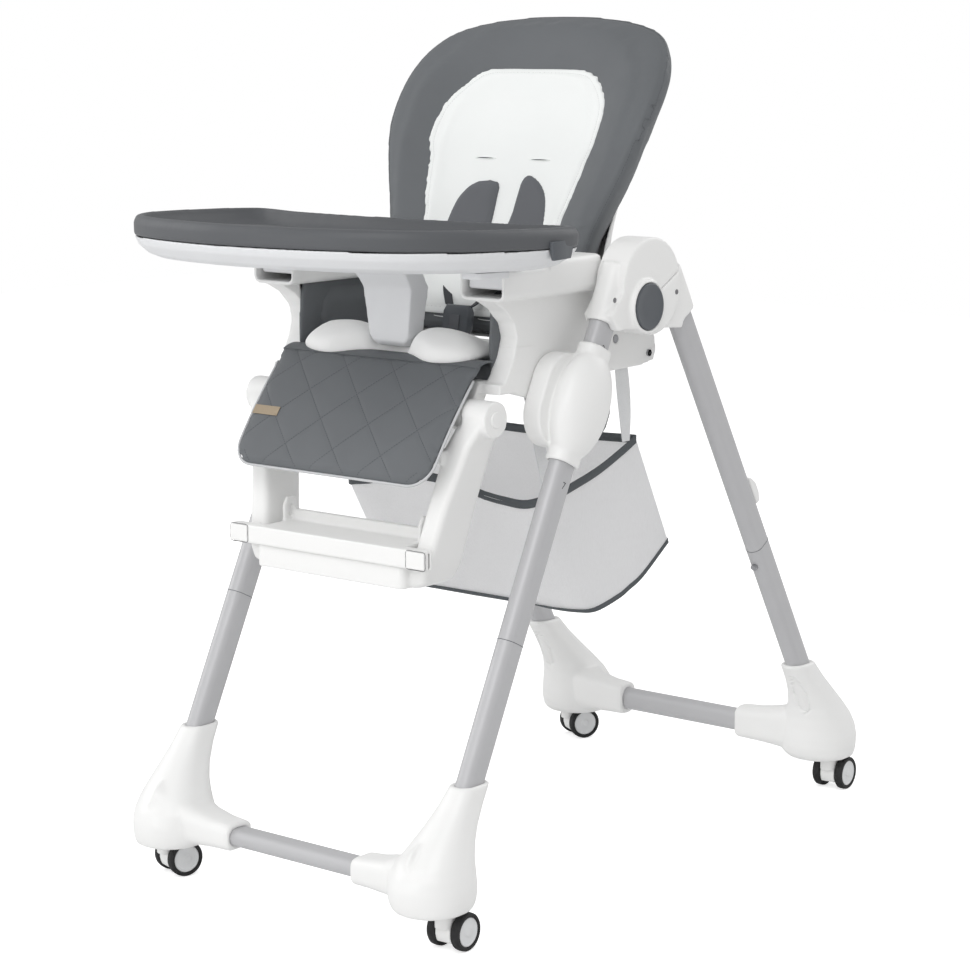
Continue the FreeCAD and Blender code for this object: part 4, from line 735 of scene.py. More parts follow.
for side, sign in SIDES:
    egg = moulded(f"slider_{side}", WHITE, "seat_carriage", 0.0018, 10, 0.6)
    low, high = corners(f"slider_{side}")
    seam_x = (low.x * 0.62 + high.x * 0.38) if sign > 0 else (high.x * 0.62 + low.x * 0.38)
    seam_line(egg, (seam_x, 0, 0), (1, 0, 0))
    moulded(f"height_lever_{side}", BUTTON, f"height_lever_{side}", 0.0009, 4, 0.6)


# ------------------------------------------------------------------ seat
# Two white moulded sides with hollow armrests are screwed to a moulded pan.
# A quilted leatherette cushion lies on the pan and lines the inside of the sides.
for side, sign in SIDES:
    panel = moulded(f"seat_side_{side}", WHITE, "seat_carriage", 0.002, 5, 0.45)
    low, high = corners(f"seat_side_{side}")
    seam_line(panel, (0, 0, low.z + 0.1), (0, 0, 1), keep=lambda spot: spot.y < -0.16)
moulded("seat_pan", WHITE, "seat_carriage", 0.0018, 4, 0.5)
dress("pivot_pins", ZINC)
screw_high = corners("screws")[1]
for side, sign in SIDES:
    face_x = screw_high.x * sign
    heads = [((face_x - sign * 0.0003, y, z), (sign, 0, 0)) for y,
             z in ((0.078, 0.652), (-0.030, 0.655))]
    screw_heads(f"side_screws_{side}", heads, 0.0041, ZINC, "seat_carriage", "steel")
dress("screws", ZINC)


def leatherette():
    """Slate-grey leatherette: a fine pebbled grain, a soft sheen, a little paler in broad random
    patches.
    """
    mix = Finish("leatherette", (97, 100, 103), 0.56, specular=0.32)
    mix.mottle(mix.cloud(9, 4), 0.1, tint(105, 108, 111)).wear(mix.cloud(30, 4), 0.06)
    mix.relief(mix.cells(900, "SMOOTH_F1"), 0.00012, 0.7).relief(mix.cloud(1500, 3), 0.00004)
    mix.relief(mix.cloud(26, 3), 0.0006, 0.4)
    return mix.material


def piping_vinyl():
    """Pale grey vinyl piping sewn round the edges of the covers."""
    mix = Finish("piping_vinyl", (198, 199, 201), 0.5)
    mix.mottle(mix.cloud(60, 3), 0.06).relief(mix.cloud(1200, 2), 0.00004)
    return mix.material


def thread(colour):
    """Polyester sewing thread."""
    mix = Finish("thread", colour, 0.6, specular=0.3)
    mix.mottle(mix.cloud(900, 2), 0.15)
    return mix.material


LEATHER = leatherette()
PIPING = piping_vinyl()
DARK_THREAD = thread((78, 80, 84))
PALE_THREAD = thread((214, 214, 214))


CLOTH = {"quality": 5, "mass": 0.3, "tension_stiffness": 18, "compression_stiffness": 18,
         "shear_stiffness": 8, "bending_stiffness": 2, "use_pressure": True}
CLOTH_STEPS = 20


def finer(piece):
    """Splits each face of a piece in four, smoothly."""
    split = piece.modifiers.new("finer", "SUBSURF")
    split.levels = split.render_levels = 1
    baked(piece)


def puffed(piece, cell, pressure, limit, smoothing, split=True):
    """Swells a soft piece as its filling would: remeshed, then blown up as cloth.

    Only outward movement is kept, up to the limit.
    """
    remeshed(piece, cell)
    rest = [(v.co.copy(), v.normal.copy()) for v in piece.data.vertices]
    cloth = piece.modifiers.new("cloth", "CLOTH")
    for setting, value in CLOTH.items():
        setattr(cloth.settings, setting, value)
    cloth.settings.uniform_pressure_force = pressure
    cloth.settings.effector_weights.gravity = 0
    cloth.point_cache.frame_start = 1
    cloth.point_cache.frame_end = CLOTH_STEPS
    for moment in range(1, CLOTH_STEPS + 1):
        scene.frame_set(moment)
    baked(piece)
    scene.frame_set(1)
    for vertex, (start, out) in zip(piece.data.vertices, rest):
        vertex.co = start + out * max(0.0, min(limit, (vertex.co - start).dot(out)))
    soften = piece.modifiers.new("soften", "SMOOTH")
    soften.iterations = smoothing
    baked(piece)
    if split:
        finer(piece)


def closed_form(name, outline, thickness, rows, axes, origin, round_edge):
    """A cushion form: an outline with a rounded edge, thickness away from its base plane.

    axes are the two directions of the outline and the direction of the thickness.
    """
    first, second, out = (Vector(axis) for axis in axes)
    base = Vector(origin)
    centre = sum((Vector(point) for point in outline), Vector((0, 0))) / len(outline)
    vertices = []
    for row in range(rows + 1):
        angle = math.pi * row / rows
        level = thickness * (1 - math.cos(angle)) / 2
        inset = thickness * 0.5 * round_edge * (1 - math.sin(angle))
        for point in outline:
            flat = Vector(point)
            flat -= (flat - centre).normalized() * inset
            vertices.append(base + first * flat.x + second * flat.y + out * level)
    return faced(made(name, vertices, tube_faces(rows + 1, len(outline))))


def bend(p0, p1, p2, p3, steps):
    """Points of the smooth (Catmull-Rom) curve from p1 up to p2."""
    line = []
    for step in range(steps):
        t = step / steps
        line.append(0.5 * ((2 * p1) + (p2 - p0) * t + (2 * p0 - 5 * p1 + 4 * p2 - p3) * t * t
                           + (3 * p1 - p0 - 3 * p2 + p3) * t ** 3))
    return line


def round_outline(points, steps):
    """A smooth closed line through the points."""
    line = []
    for k in range(len(points)):
        line += bend(*(Vector(points[(k + j - 1) % len(points)]) for j in range(4)), steps)
    return line


def open_line(points, steps):
    """A smooth open line through the points."""
    ends = [2 * Vector(points[0]) - Vector(points[1]), *map(Vector, points),
            2 * Vector(points[-1]) - Vector(points[-2])]
    line = []
    for k in range(1, len(ends) - 2):
        line += bend(*ends[k - 1:k + 3], steps)
    return [*line, Vector(points[-1])]


def beading(name, path, radius, closed=False, sides=8):
    """A round bead that follows a path."""
    count = len(path)
    vertices = []
    before = None
    for k, spot in enumerate(path):
        ahead = path[(k + 1) % count] if closed or k < count - 1 else spot
        behind = path[k - 1] if closed or k > 0 else spot
        along = (ahead - behind).normalized()
        across = before - along * before.dot(along) if before else along.orthogonal()
        across.normalize()
        before = across
        third = along.cross(across)
        for j in range(sides):
            angle = 2 * math.pi * j / sides
            vertices.append(spot + across * math.cos(angle) * radius
                            + third * math.sin(angle) * radius)
    return faced(made(name, vertices, tube_faces(count, sides, closed)))


def draped_on(path, target, out, lift, reach=0.03):
    """A path laid on a piece's surface, looking along minus out."""
    tree = surface(target.data)
    out = Vector(out).normalized()
    laid = []
    for spot in path:
        hit_spot = tree.ray_cast(Vector(spot) + out * reach, -out, reach * 2)[0]
        laid.append((hit_spot or Vector(spot)) + out * lift)
    return laid


cushion = copied("seat_pad", "seat_cushion")
puffed(cushion, 0.005, 3.0, 0.004, 3)
finished(cushion, LEATHER, "seat_carriage", ("seat_pad",), smooth=180)
lining_side = [(-0.205, 0.655), (-0.207, 0.70), (-0.203, 0.735), (-0.19, 0.75), (-0.10, 0.752),
               (-0.04, 0.752), (-0.03, 0.742),
               (-0.03, 0.665), (-0.05, 0.652), (-0.19, 0.65)]
for side, sign in SIDES:
    lining = closed_form(f"side_lining_{side}", round_outline(lining_side, 4), 0.007, 6,
                         ((0, 1, 0), (0, 0, 1), (sign, 0, 0)),
                         (sign * 0.149, 0, 0), 0.8)
    puffed(lining, 0.0035, 1.0, 0.002, 3, split=False)
    finished(lining, LEATHER, "seat_carriage", smooth=180)


# ------------------------------------------------------------------ newborn insert
# A loose white quilted insert lies on the seat cushion, with a thick padded roll each
# side of the centre post that keeps a small child's legs apart.
def insert_fabric():
    """White polyester jersey over soft filling: fine knit, faint creases."""
    mix = Finish("insert_fabric", (248, 248, 247), 0.85, specular=0.2)
    mix.shader.inputs["Sheen Weight"].default_value = 0.15
    mix.mottle(mix.cloud(20, 3), 0.03)
    mix.relief(mix.cells(1400), 0.00006, 0.6).relief(mix.cloud(34, 4), 0.0009, 0.5)
    return mix.material


INSERT = insert_fabric()
seat_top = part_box("seat_pan")[0][2] + 0.0264
rear_y, front_y = -0.075, -0.238


def insert_height(x, y):
    """How thick the insert is over one point of the seat."""
    front = 1 - clamp((y - front_y - 0.035) / 0.055)
    lobe = math.sqrt(max(0.0, 1 - min(1.0, (abs(abs(x) - 0.086) / 0.056) ** 3)))
    return 0.011 + 0.031 * lobe * front


rim = round_outline([(0, front_y + 0.034), (0.036, front_y + 0.02), (0.084, front_y),
                     (0.128, front_y + 0.012),
                     (0.138, front_y + 0.045), (0.136, -0.12), (0.132, rear_y),
                     (0.07, rear_y + 0.004), (0, rear_y + 0.004),
                     (-0.07, rear_y + 0.004), (-0.132, rear_y), (-0.136, -0.12),
                     (-0.138, front_y + 0.045),
                     (-0.128, front_y + 0.012), (-0.084, front_y), (-0.036, front_y + 0.02)], 6)
middle = Vector((0, (rear_y + front_y) / 2))
shares = (0.0, 0.12, 0.24, 0.36, 0.48, 0.6, 0.7, 0.79, 0.87, 0.93, 0.97, 0.992, 1.0)
vertices = []
for top in (True, False):
    for share in shares[::-1] if top else shares[1:][::-1]:
        for point in rim:
            flat = middle + (point - middle) * share
            edge = math.sqrt(max(0.0, 1 - share ** 6))
            height = insert_height(*flat)
            half = height / 2
            level = half + (half * edge if top else -half * edge * 0.98)
            drop = 0.010 * clamp((-0.19 - flat.y) / 0.04)
            vertices.append(Vector((flat.x, flat.y, seat_top + 0.0006 + level - drop)))
count, rows = len(rim), len(shares)
faces = tube_faces(rows, count, capped=False) + tube_faces(rows - 1, count, capped=False,
                                                           first=rows * count)
faces.append(tuple((2 * rows - 2) * count + k for k in range(count)))
insert = faced(made("newborn_insert", vertices, faces), 0.00003)
puffed(insert, 0.004, 2.5, 0.004, 4)
finished(insert, INSERT, "seat_carriage", smooth=180)


# ------------------------------------------------------------------ backrest
# A moulded tub carries a deep leatherette cushion, dished in the middle, whose head
# rolls back a little. A welt runs where the cover's front meets its side.
hinge = Vector(JOINTS["recline"]["pos_m"])
back_foot = hinge + Vector((0, -0.044, 0.014))
back_up = Vector(JOINTS["recline_pull"]["axis"])
back_rear = Vector((0, back_up.z, -back_up.y))
back_low, back_high = corners("back_pad")
back_half = (back_high.x - back_low.x) / 2 + 0.0055
BACK_MIDDLE = Vector((0, 0.2))


def on_back(x, height, level):
    """A point over the backrest: across, up along it, and to its rear."""
    return back_foot + Vector((x, 0, 0)) + back_up * height + back_rear * level


def back_roll(height):
    """How far back the cushion's rim lies at a height: level below, rolling back at the head."""
    share = max(0.0, (height - 0.23) / 0.17)
    return -0.028 + 0.05 * share ** 1.6


def mirrored(points):
    """A closed outline from its right half, listed from the bottom up."""
    return [*points, *[(-x, y) for x, y in reversed(points) if x > 0]]


back_edge = round_outline(mirrored([
    (0, -0.018), (0.09, -0.02), (back_half * 0.72, -0.016), (back_half * 0.755, 0.03),
    (back_half * 0.785, 0.1),
    (back_half * 0.835, 0.14), (back_half * 0.9, 0.18), (back_half * 0.955, 0.22),
    (back_half * 0.99, 0.26),
    (back_half, 0.303), (back_half * 0.975, 0.34), (back_half * 0.915, 0.369),
    (back_half * 0.8, 0.393),
    (back_half * 0.6, 0.409), (back_half * 0.32, 0.4185), (0, 0.4215)]), 6)
DISH = [(0.0, 0.0345), (0.4, 0.0335), (0.52, 0.03), (0.62, 0.022), (0.70, 0.013), (0.78, 0.0052),
        (0.86, 0.001),
        (0.92, 0.0), (2.0, 0.0)]


def dish(share):
    """How deep the cushion's front is dished at a share of the way to its rim."""
    for (a, low), (b, high) in zip(DISH, DISH[1:]):
        if share <= b:
            t = (share - a) / (b - a)
            return low + (high - low) * t
    return 0.0


def compass(away):
    """The direction of a point from the backrest's middle, as one of 360 steps."""
    return round(math.degrees(math.atan2(away.y, away.x))) % 360


reaches = {}
for a, b in zip(back_edge, back_edge[1:] + back_edge[:1]):
    for share in range(8):
        away = a.lerp(b, share / 8) - BACK_MIDDLE
        reaches[compass(away)] = away.length


def rim_share(x, height):
    """How far out a point of the backrest lies between its middle and its rim."""
    away = Vector((x, height)) - BACK_MIDDLE
    return away.length / reaches[compass(away)]


def cushion_front(x, height):
    """The level of the cushion's front face at a point of the backrest."""
    return back_roll(height) + dish(rim_share(x, height))


def ringed(name, outline, rows, middle, place):
    """A closed form through rings of an outline, drawn in about its middle.

    Each row is a share of the outline's size and a level.
    """
    vertices = []
    for share, level in rows:
        for point in outline:
            flat = middle + (Vector(point) - middle) * share
            vertices.append(place(flat.x, flat.y, level))
    faces = tube_faces(len(rows), len(outline), capped=False)
    return faced(made(name, vertices, faces), 0.00002, fill=True)


def grooved(piece, path, depth, width, keep=None):
    """Sinks a soft channel into a piece along a path, as a line of stitching pulls it in."""
    near = KDTree(len(path))
    for k, spot in enumerate(path):
        near.insert(spot, k)
    near.balance()
    for vertex, out in outward(piece):
        away = near.find(vertex.co)[2]
        if away < width * 3 and (keep is None or keep(out)):
            vertex.co -= out * depth * math.exp(-(away / width) ** 2)


COVER_DEEP = 0.0496
cover_rows = [(0.0, None), (0.15, None), (0.3, None), (0.42, None), (0.52, None), (0.6, None),
              (0.67, None), (0.74, None),
              (0.81, None), (0.87, None), (0.92, 0.0), (0.955, 0.001), (0.982, 0.0032),
              (1.0, 0.0075), (1.0, 0.011),
              (0.988, 0.019), (0.968, 0.029), (0.942, 0.039), (0.915, 0.0465), (0.88, COVER_DEEP),
              (0.6, COVER_DEEP),
              (0.3, COVER_DEEP), (0.0, COVER_DEEP)]
cover_rows = [(share, dish(share) if level is None else level) for share, level in cover_rows]
cover = ringed("back_cushion", back_edge, cover_rows, BACK_MIDDLE,
               lambda x, height, level: on_back(x - 0.0025, height, back_roll(height) + level))
puffed(cover, 0.005, 3.0, 0.004, 3)
welt = [on_back(p.x * 0.985, BACK_MIDDLE.y + (p.y - BACK_MIDDLE.y) * 0.985, back_roll(p.y) + 0.0035)
        for p in round_outline(back_edge, 3)]
grooved(cover, welt, 0.0016, 0.0028)
finished(cover, LEATHER, "backrest", ("back_pad",), smooth=180)

shell = copied("backrest_shell", "back_shell")
remeshed(shell, 0.0025, 6, 0.4)
for vertex in shell.data.vertices:
    away = vertex.co - back_foot
    height, level = away.dot(back_up), away.dot(back_rear)
    rise = clamp((height - 0.09) / 0.09)
    depth = clamp((level - 0.022) / 0.034)
    narrow = 1 - rise * (0.085 + 0.125 * depth)
    shallow = -0.012 * rise * depth * clamp((height - 0.2) / 0.15)
    vertex.co.x *= narrow
    vertex.co += back_rear * (back_roll(height) + 0.028 + shallow)
    vertex.co -= back_up * 0.018 * clamp((height - 0.15) / 0.2)
finished(shell, WHITE, "backrest", ("backrest_shell",), smooth=180)
moulded("recline_handle", BUTTON, "recline_handle", 0.0014, 5, 0.6)


# ------------------------------------------------------------------ liner
# A reversible white liner, lightly filled, is bound round its edge and lies in the dish
# of the cushion. Bound slits let the harness through at two heights.
def liner_fabric():
    """White cotton jersey on soft wadding: a fine knit with faint pillowy creases."""
    mix = Finish("liner_fabric", (241, 243, 242), 0.88, specular=0.2)
    mix.shader.inputs["Sheen Weight"].default_value = 0.12
    mix.mottle(mix.cloud(16, 3), 0.03)
    mix.relief(mix.cells(1500), 0.00006, 0.6).relief(mix.cloud(28, 4), 0.0010, 0.5)
    return mix.material


LINER = liner_fabric()
LINER_MIDDLE = Vector((0, 0.185))
liner_edge = round_outline(mirrored([
    (0, -0.004), (0.06, -0.004), (0.1, 0.0), (0.107, 0.03), (0.11, 0.08), (0.112, 0.126),
    (0.117, 0.145), (0.1215, 0.169),
    (0.1255, 0.19), (0.127, 0.2), (0.128, 0.208), (0.1305, 0.216), (0.134, 0.228), (0.135, 0.246),
    (0.134, 0.262),
    (0.1295, 0.285), (0.117, 0.306), (0.096, 0.3275), (0.08, 0.334), (0.05, 0.337), (0, 0.337)]), 8)
ripple = []
for k, point in enumerate(liner_edge):
    out = (point - LINER_MIDDLE).normalized()
    wave = noise.noise(Vector((point.x * 32, point.y * 32, 3.0)))
    ripple.append(point + out * 0.0008 * wave + Vector((-0.003, 0.004 * max(0.0, point.y) / 0.33)))
liner_rows = [(0.0, 0.0075), (0.2, 0.0078), (0.4, 0.008), (0.55, 0.0082), (0.68, 0.0086),
              (0.78, 0.009), (0.86, 0.0092),
              (0.92, 0.009), (0.958, 0.0078), (0.985, 0.0056), (0.998, 0.0032), (0.99, 0.0014),
              (0.96, 0.0007),
              (0.8, 0.0006), (0.6, 0.0006), (0.4, 0.0006), (0.2, 0.0006), (0.0, 0.0006)]
liner = ringed("back_liner_cover", ripple, liner_rows, LINER_MIDDLE,
               lambda x, height, lift: on_back(x, height, cushion_front(x, height) - 0.0012 - lift))
puffed(liner, 0.004, 2.0, 0.003, 3)
edge_seam = []
for p in ripple:
    x, height = p.x * 0.93, LINER_MIDDLE.y + (p.y - LINER_MIDDLE.y) * 0.945
    edge_seam.append(on_back(x, height, cushion_front(x, height) - 0.0105))
grooved(liner, edge_seam, 0.0011, 0.0022)
finished(liner, LINER, "backrest", ("back_liner",), smooth=180)

SLIT_STEPS, SLIT_LONG = 28, 0.033


def solid(piece, thickness):
    """Gives a sheet its thickness, half on each side."""
    thick = piece.modifiers.new("thick", "SOLIDIFY")
    thick.thickness = thickness
    thick.offset = 0
    baked(piece)


# Each slit is a thin dark lens of painted shade laid on the liner, inside a bound ring.
slits, bindings = [], []
for height, spread in ((0.2125, 0.044), (-0.0035, 0.036)):
    for side, sign in SIDES:
        ring = []
        for step in range(SLIT_STEPS):
            angle = 2 * math.pi * step / SLIT_STEPS
            ring.append((sign * spread + math.cos(angle) * SLIT_LONG / 2,
                         height + math.sin(angle) * 0.0013))
        lay = [on_back(x, y, cushion_front(x, y)) for x, y in ring]
        laid = draped_on(lay, liner, -back_rear, 0.0002)
        slits.append(made("slit", [sum(laid, Vector()) / SLIT_STEPS - back_rear * 0.0001, *laid],
                          [(0, k + 1, (k + 1) % SLIT_STEPS + 1) for k in range(SLIT_STEPS)]))
        bindings.append(beading("binding", laid, 0.0007, closed=True, sides=6))
for piece in slits:
    solid(piece, 0.0004)


def shade_fabric():
    """Painted shade: a dark fill that stands for the shadow in the gap inside a slit of the liner.
    """
    mix = Finish("slit_shadow", (88, 90, 92), 0.9, specular=0.1)
    mix.mottle(mix.cloud(400, 2), 0.3)
    return mix.material


finished(joined("liner_slit_shades", slits), shade_fabric(), "backrest", smooth=180)
finished(joined("liner_slit_bindings", bindings), LINER, "backrest", smooth=180)


# ------------------------------------------------------------------ harness
# Two leaf-shaped dark shoulder pads come out of the liner. Charcoal webbing runs from them
# to a grey buckle in front of the centre post.
def dark_fabric():
    """Slate woven polyester of the shoulder pads."""
    mix = Finish("pad_fabric", (100, 102, 106), 0.72, specular=0.3)
    mix.mottle(mix.cloud(30, 3), 0.08)
    mix.relief(mix.cells(1300), 0.00008, 0.7).relief(mix.cloud(40, 3), 0.0006, 0.4)
    return mix.material


def webbing_finish():
    """Charcoal webbing with a fine rib across it."""
    mix = Finish("webbing", (62, 64, 68), 0.7, specular=0.3)
    mix.mottle(mix.cloud(500, 2), 0.15).relief(mix.cells(1100), 0.00015, 0.8)
    return mix.material


PAD_CLOTH = dark_fabric()
DARK_WEB = webbing_finish()
shoulder_pads = {
    "left": [(0.016, 0.122), (0.0195, 0.142), (0.0215, 0.165), (0.0235, 0.183), (0.031, 0.1925),
             (0.043, 0.189),
             (0.0585, 0.1775), (0.071, 0.156), (0.079, 0.124), (0.082, 0.098), (0.078, 0.074),
             (0.052, 0.06),
             (0.028, 0.07), (0.018, 0.095)],
    "right": [(-0.0095, 0.123), (-0.0095, 0.142), (-0.0105, 0.162), (-0.0115, 0.178),
              (-0.0225, 0.1835), (-0.041, 0.1825),
              (-0.0575, 0.176), (-0.0715, 0.161), (-0.081, 0.142), (-0.087, 0.118),
              (-0.089, 0.095), (-0.082, 0.073),
              (-0.054, 0.06), (-0.026, 0.07), (-0.012, 0.098)],
}


def bow(x, y, lift):
    """A point over the backrest in front of the liner; the pads' feet stand forward."""
    return on_back(x, y, -0.0030 - lift - 0.005 * max(0.0, (0.13 - y) / 0.07))


for side, sign in SIDES:
    outline = round_outline(shoulder_pads[side], 5)
    middle = sum(outline, Vector((0, 0))) / len(outline)
    rows = [(0.0, 0.0095), (0.4, 0.0093), (0.7, 0.0088), (0.86, 0.0078), (0.95, 0.0058),
            (1.0, 0.0038), (0.995, 0.002),
            (0.96, 0.0009), (0.7, 0.0006), (0.0, 0.0006)]
    pad = ringed(f"shoulder_pad_{side}", outline, rows, middle, bow)
    remeshed(pad, 0.0022, 3)
    seam = [bow(middle.x + (p.x - middle.x) * 0.9, middle.y + (p.y - middle.y) * 0.93,
                0.0075) for p in outline]
    grooved(pad, seam, 0.0008, 0.0016)
    finished(pad, PAD_CLOTH, "backrest", ("harness",), smooth=180)


def ribbon(name, path, across, thickness, body, finish):
    """A flat strap of webbing; across holds a vector from its middle to its edge at each point."""
    vertices = []
    for k, (spot, half) in enumerate(zip(path, across)):
        ahead = path[min(k + 1, len(path) - 1)] - path[max(k - 1, 0)]
        out = ahead.cross(half).normalized() * thickness / 2
        soft = half * 0.96
        vertices += [spot - half, spot - soft + out, spot + soft + out, spot + half,
                     spot + soft - out, spot - soft - out]
    piece = faced(made(name, vertices, tube_faces(len(path), 6)))
    finished(piece, finish, body, smooth=50)
    return piece


buckle_low, buckle_high = corners("buckle")
latch = (buckle_low + buckle_high) / 2 + Vector((0.012, 0.010, 0.012))
for side, sign in SIDES:
    route = open_line([on_back(sign * 0.05, 0.085, -0.009), on_back(sign * 0.047, 0.055, -0.021),
                       on_back(sign * 0.035, 0.03, -0.034),
                       latch + Vector((sign * 0.017, 0.004, 0.014))], 8)
    across = [Vector((0.0075, 0, 0.0035 * sign * k / len(route))) for k in range(len(route))]
    ribbon(f"harness_strap_{side}", route, across, 0.0014, "backrest", DARK_WEB)
crotch_route = open_line([latch + Vector((0, 0, -0.016)), latch + Vector((0.0, 0.002, -0.03)),
                          Vector((latch.x * 0.6, latch.y + 0.004, seat_top + 0.014))], 6)
ribbon("crotch_strap", crotch_route, [Vector((0.011, 0, 0))] * len(crotch_route), 0.0015,
       "seat_carriage", DARK_WEB)
body_line = [(-0.017, -0.021), (0.017, -0.021), (0.021, -0.014), (0.021, 0.008), (0.0165, 0.016),
             (-0.0165, 0.016),
             (-0.021, 0.008), (-0.021, -0.014)]
case = closed_form("buckle_case", body_line, 0.013, 8,
                   ((1, 0, 0), (0, 0.17, 0.985), (0, -0.985, 0.17)),
                   latch + Vector((0, 0.0065, 0)), 0.35)
finished(case, BUTTON, "seat_carriage", ("buckle",), smooth=35)
button = closed_form("buckle_button", [(-0.008, -0.013), (0.008, -0.013), (0.008, 0.005),
                                       (-0.008, 0.005)], 0.003, 4,
                     ((1, 0, 0), (0, 0.17, 0.985), (0, -0.985, 0.17)),
                     latch + Vector((0, -0.0055, 0)), 0.5)
finished(button, PAD_CLOTH, "seat_carriage", smooth=35)


# ------------------------------------------------------------------ tray
# A grey dished tray clips on a white sliding base with runners. A pale post hangs from
# the base between the child's legs, and a catch under each side lets the base slide.
def tray_plastic():
    """Slate-grey polypropylene with a satin, faintly pebbled face."""
    mix = Finish("tray_plastic", (90, 92, 95), 0.5, specular=0.35)
    mix.mottle(mix.cloud(16, 4), 0.05).wear(mix.cloud(40, 4), 0.07)
    mix.relief(mix.cloud(1800, 2), 0.00002).relief(mix.cloud(12, 2), 0.0003, 0.5)
    return mix.material


def pale_plastic():
    """Pale grey polypropylene of the post and the tray catches."""
    mix = Finish("pale_plastic", (226, 227, 229), 0.42)
    mix.mottle(mix.cloud(20, 3), 0.04).relief(mix.cloud(2200, 2), 0.00002)
    return mix.material


TRAY = tray_plastic()
PALE = pale_plastic()
moulded("tray_top", TRAY, "tray_top", 0.0022, 4, 0.6)
moulded("tray_base", PALE, "tray", 0.0022, 4, 0.6)
moulded("crotch_post", PALE, "tray", 0.0016, 5, 0.6)
for side, sign in SIDES:
    moulded(f"tray_release_{side}", PALE, f"tray_release_{side}", 0.0009, 3, 0.6)
    along, out = Vector((-sign * 0.18, 0.98, 0)), Vector((sign * 0.98, 0.18, 0))
    rim_point = Vector((sign * 0.2675, -0.222, 0.806))
    clip_line = [(-0.020, -0.011), (0.020, -0.011), (0.0235, -0.004), (0.027, 0.007),
                 (0.026, 0.011), (-0.026, 0.011),
                 (-0.027, 0.007), (-0.0235, -0.004)]
    clip = closed_form(f"tray_clip_{side}", clip_line, 0.006, 8, (along, (0, 0, 1), out),
                       rim_point - out * 0.0015, 0.35)
    finished(clip, BUTTON, "tray_top", smooth=35)


# ------------------------------------------------------------------ footrest
# A white two-armed frame hangs from pins in front of the seat. A leatherette calf pad,
# quilted in diamonds and piped along its free edges, is sewn to the seat cover's front.
moulded("footrest_frame", WHITE, "footrest", 0.0019, 5, 0.6)
moulded("calf_board", WHITE, "footrest", 0.0019, 3, 0.5)
swing = Vector(JOINTS["footrest_angle"]["pos_m"])
frame_high = corners("footrest_frame")[1]
cap_profile = [(0.0001, 0.0), (0.0098, 0.0), (0.0098, 0.0012), (0.009, 0.002), (0.0001, 0.0022)]
for side, sign in SIDES:
    spot = Vector((sign * (frame_high.x - 0.0004), swing.y, swing.z))
    finished(turned(f"footrest_cap_{side}", cap_profile, spot, (sign, 0, 0), 40), WHITE,
             "footrest")

lean = math.radians(52.5)
calf_along, calf_out = Vector((0, math.cos(lean),
                               math.sin(lean))), Vector((0, -math.sin(lean), math.cos(lean)))
calf_foot = Vector((0, -0.331, 0.531))
CALF_HALF, CALF_LONG, CALF_THICK = 0.158, 0.166, 0.0075


def on_calf(x, run, lift):
    """A point over the calf pad: across, up along it, and out of its front."""
    bow = 0.004 * math.sin(math.pi * clamp(run / CALF_LONG))
    return calf_foot + Vector((x, 0, 0)) + calf_along * run + calf_out * (lift + bow - 0.004)


corner = 0.032
calf_edge = []
for cx, turn in ((CALF_HALF - corner, -90), (-(CALF_HALF - corner), 180)):
    for step in range(10):
        angle = math.radians(turn + 90 * step / 9)
        calf_edge.append((cx + corner * math.cos(angle), corner - 0.002 + corner * math.sin(angle)))
    if turn == -90:
        calf_edge += [(CALF_HALF, corner + (CALF_LONG - corner) * k / 12) for k in range(1, 13)]
        calf_edge += [(CALF_HALF - 2 * CALF_HALF * k / 24, CALF_LONG) for k in range(1, 24)]
        calf_edge += [(-CALF_HALF, CALF_LONG - (CALF_LONG - corner) * k / 12) for k in range(0, 12)]
calf_edge = [Vector(p) for p in calf_edge]
calf_edge += [Vector((-(CALF_HALF - corner) + 2 * (CALF_HALF - corner) * k / 20, -0.002))
              for k in range(1, 20)]
calf_middle = Vector((0, CALF_LONG / 2))
calf_rows = [(0.0, CALF_THICK), (0.5, CALF_THICK), (0.85, CALF_THICK * 0.97),
             (0.94, CALF_THICK * 0.86),
             (0.98, CALF_THICK * 0.68), (1.0, CALF_THICK * 0.45), (0.99, CALF_THICK * 0.18),
             (0.96, 0.0003), (0.6, 0.0),
             (0.0, 0.0)]
calf = ringed("calf_cushion", calf_edge, calf_rows, calf_middle, on_calf)
puffed(calf, 0.0045, 2.0, 0.0025, 3, split=False)
PITCH = 0.0765
quilt_lines, stitch_runs = [], []
for slope in (1, -1):
    for number in range(-4, 5):
        run = []
        for step in range(180):
            t = 0.004 + step * (CALF_LONG - 0.006) / 179
            x = number * PITCH + slope * (t - 0.03)
            in_corner = t < corner and abs(x) > CALF_HALF - corner + t * 0.8
            if abs(x) < CALF_HALF - 0.007 and not in_corner:
                run.append(on_calf(x, t, CALF_THICK))
        if len(run) > 6:
            quilt_lines += run[::2]
            stitch_runs.append(run)
finer(calf)
grooved(calf, quilt_lines, 0.0008, 0.0028, keep=lambda out: out.dot(calf_out) > 0.4)
finished(calf, LEATHER, "footrest", ("calf_pad",), smooth=180)
sewn = [k for k, p in enumerate(calf_edge) if p.y >= CALF_LONG - 0.02]
piping_line = [on_calf(p.x * 0.99, p.y + 0.0016, CALF_THICK * 0.4)
               for p in calf_edge[sewn[-1] + 1:] + calf_edge[:sewn[0]]]
calf_bead = beading("calf_piping", piping_line, 0.0017, sides=8)
finished(calf_bead, PIPING, "footrest", smooth=180)

